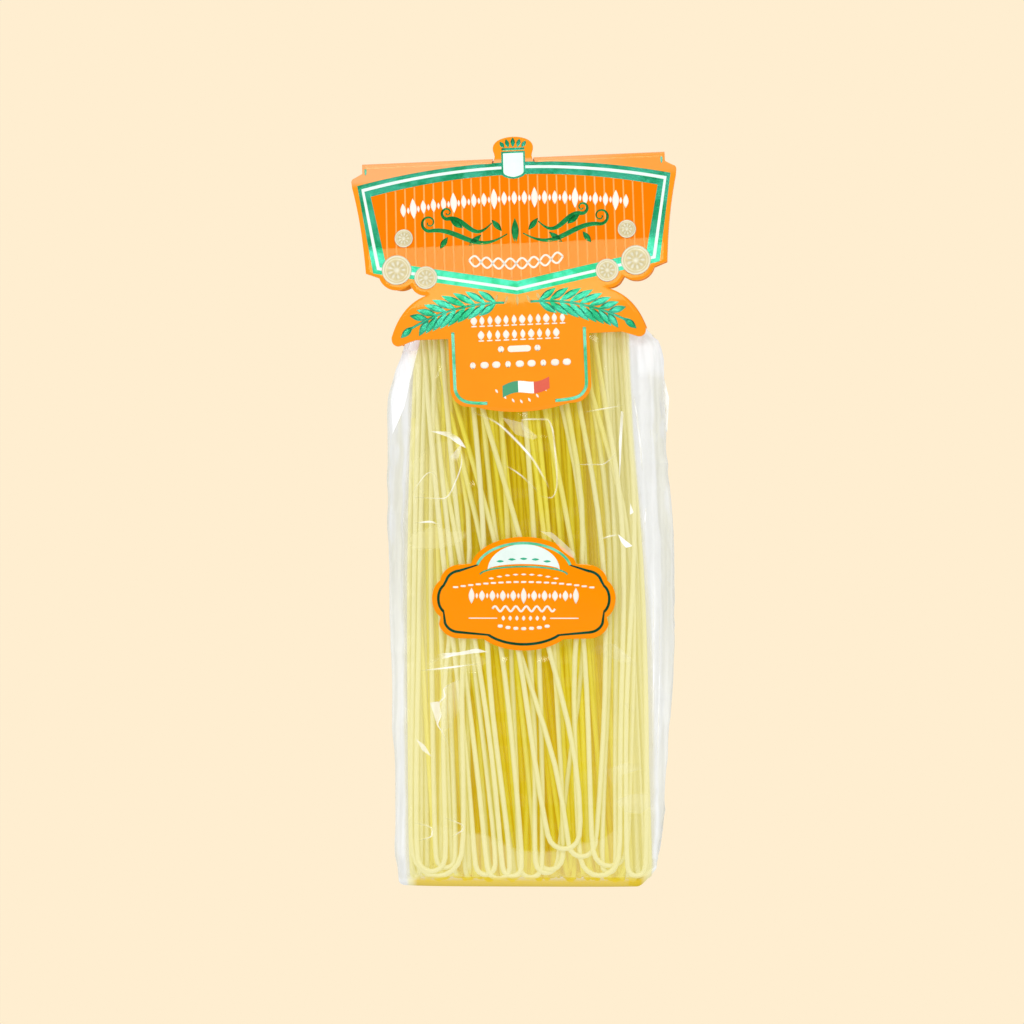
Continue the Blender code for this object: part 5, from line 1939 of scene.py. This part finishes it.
def sweep_piece(colour):
    """Floor and wall in one: a level run, a quarter circle and an upright run, the same all along x."""
    bend = arc(SWEEP_BACK, SWEEP_RADIUS, SWEEP_RADIUS, SWEEP_RADIUS, -90, 0, 16)
    profile = chain((SWEEP_FRONT, 0.0), bend, (SWEEP_BACK + SWEEP_RADIUS, SWEEP_TOP)) / MM
    x = np.linspace(-SWEEP_HALF_WIDTH, SWEEP_HALF_WIDTH, 3) / MM
    points = np.stack(np.broadcast_arrays(x[None, :], profile[:, None, 0], profile[:, None, 1]), axis=-1)
    sweep = new_piece("sweep", points.reshape(-1, 3), [grid_faces(len(profile), 3)])
    sweep.data.materials.append(backdrop_material(colour))


def soft_light(name, place, size, power):
    """A rectangular soft light that faces the pack's middle and is hidden from the camera."""
    data = bpy.data.lights.new(name, "AREA")
    data.shape = "RECTANGLE"
    data.size, data.size_y = size
    data.energy = power
    lamp = bpy.data.objects.new(name, data)
    bpy.context.scene.collection.objects.link(lamp)
    lamp.location = place
    lamp.rotation_euler = (Vector(LIGHT_TARGET) - Vector(place)).to_track_quat("-Z", "Y").to_euler()
    lamp.visible_camera = False


def white_sky():
    """A white world, of which less is mirrored than lights the pack."""
    world = bpy.data.worlds.new("white_studio")
    world.use_nodes = True
    tree = world.node_tree
    glossy = add_node(tree, "LightPath").outputs["Is Glossy Ray"]
    kept_back = maths(tree, "MULTIPLY", glossy, SKY_LIGHT - SKY_MIRRORED)
    sky = tree.nodes["Background"].inputs
    sky["Color"].default_value = (1.0, 1.0, 1.0, 1.0)
    tree.links.new(maths(tree, "SUBTRACT", SKY_LIGHT, kept_back), sky["Strength"])
    return world


def picture_camera():
    """A camera at its distance from the picture's centre, with the lens that gives the picture its width."""
    camera = bpy.data.cameras.new("camera")
    camera.sensor_width = SENSOR_WIDTH
    camera.lens = SENSOR_WIDTH * CAMERA_DISTANCE / PICTURE_WIDTH
    camera.clip_start, camera.clip_end = 0.05, 20.0
    level = math.cos(CAMERA_ELEVATION)
    back = Vector((math.sin(CAMERA_AZIMUTH) * level, -math.cos(CAMERA_AZIMUTH) * level,
                   math.sin(CAMERA_ELEVATION)))
    eye = bpy.data.objects.new("camera", camera)
    eye.location = Vector(PICTURE_CENTRE) + back * CAMERA_DISTANCE
    eye.rotation_euler = (-back).to_track_quat("-Z", "Y").to_euler()
    return eye


class PACK_OT_stage(bpy.types.Operator):
    """Set the pale sweep, the soft lights and the camera"""

    bl_idname = "pack.stage"
    bl_label = "Stage"

    def execute(self, context):
        scene = context.scene
        sweep_piece(scene.pack_settings.backdrop_colour)
        scene.world = white_sky()
        for light in SOFT_LIGHTS:
            soft_light(*light)
        scene.camera = picture_camera()
        scene.collection.objects.link(scene.camera)
        scene.view_settings.view_transform = "Standard"
        return {"FINISHED"}


class PACK_PT_panel(bpy.types.Panel):
    """Shows the pack's settings and a button for each of its operators"""

    bl_label = "Spaghetti pack"
    bl_idname = "PACK_PT_panel"
    bl_space_type = "VIEW_3D"
    bl_region_type = "UI"
    bl_category = "Pack"

    def draw(self, context):
        """Shows each setting and a button for each operator."""
        settings = context.scene.pack_settings
        for name in PackSettings.__annotations__:
            self.layout.prop(settings, name)
        for operator in OPERATORS:
            self.layout.operator(operator.bl_idname)


OPERATORS = (PACK_OT_stage, PACK_OT_strands, PACK_OT_film, PACK_OT_card, PACK_OT_card_print, PACK_OT_label)
CLASSES = (PackSettings, *OPERATORS, PACK_PT_panel)


def register():
    """Registers the classes and puts the settings on the scene."""
    for cls in CLASSES:
        bpy.utils.register_class(cls)
    bpy.types.Scene.pack_settings = PointerProperty(type=PackSettings)


def unregister():
    """Takes the settings and the classes away again."""
    del bpy.types.Scene.pack_settings
    for cls in reversed(CLASSES):
        bpy.utils.unregister_class(cls)


def main():
    register()
    for operator in OPERATORS:
        group, name = operator.bl_idname.split(".")
        getattr(getattr(bpy.ops, group), name)()


if __name__ == "__main__":
    main()
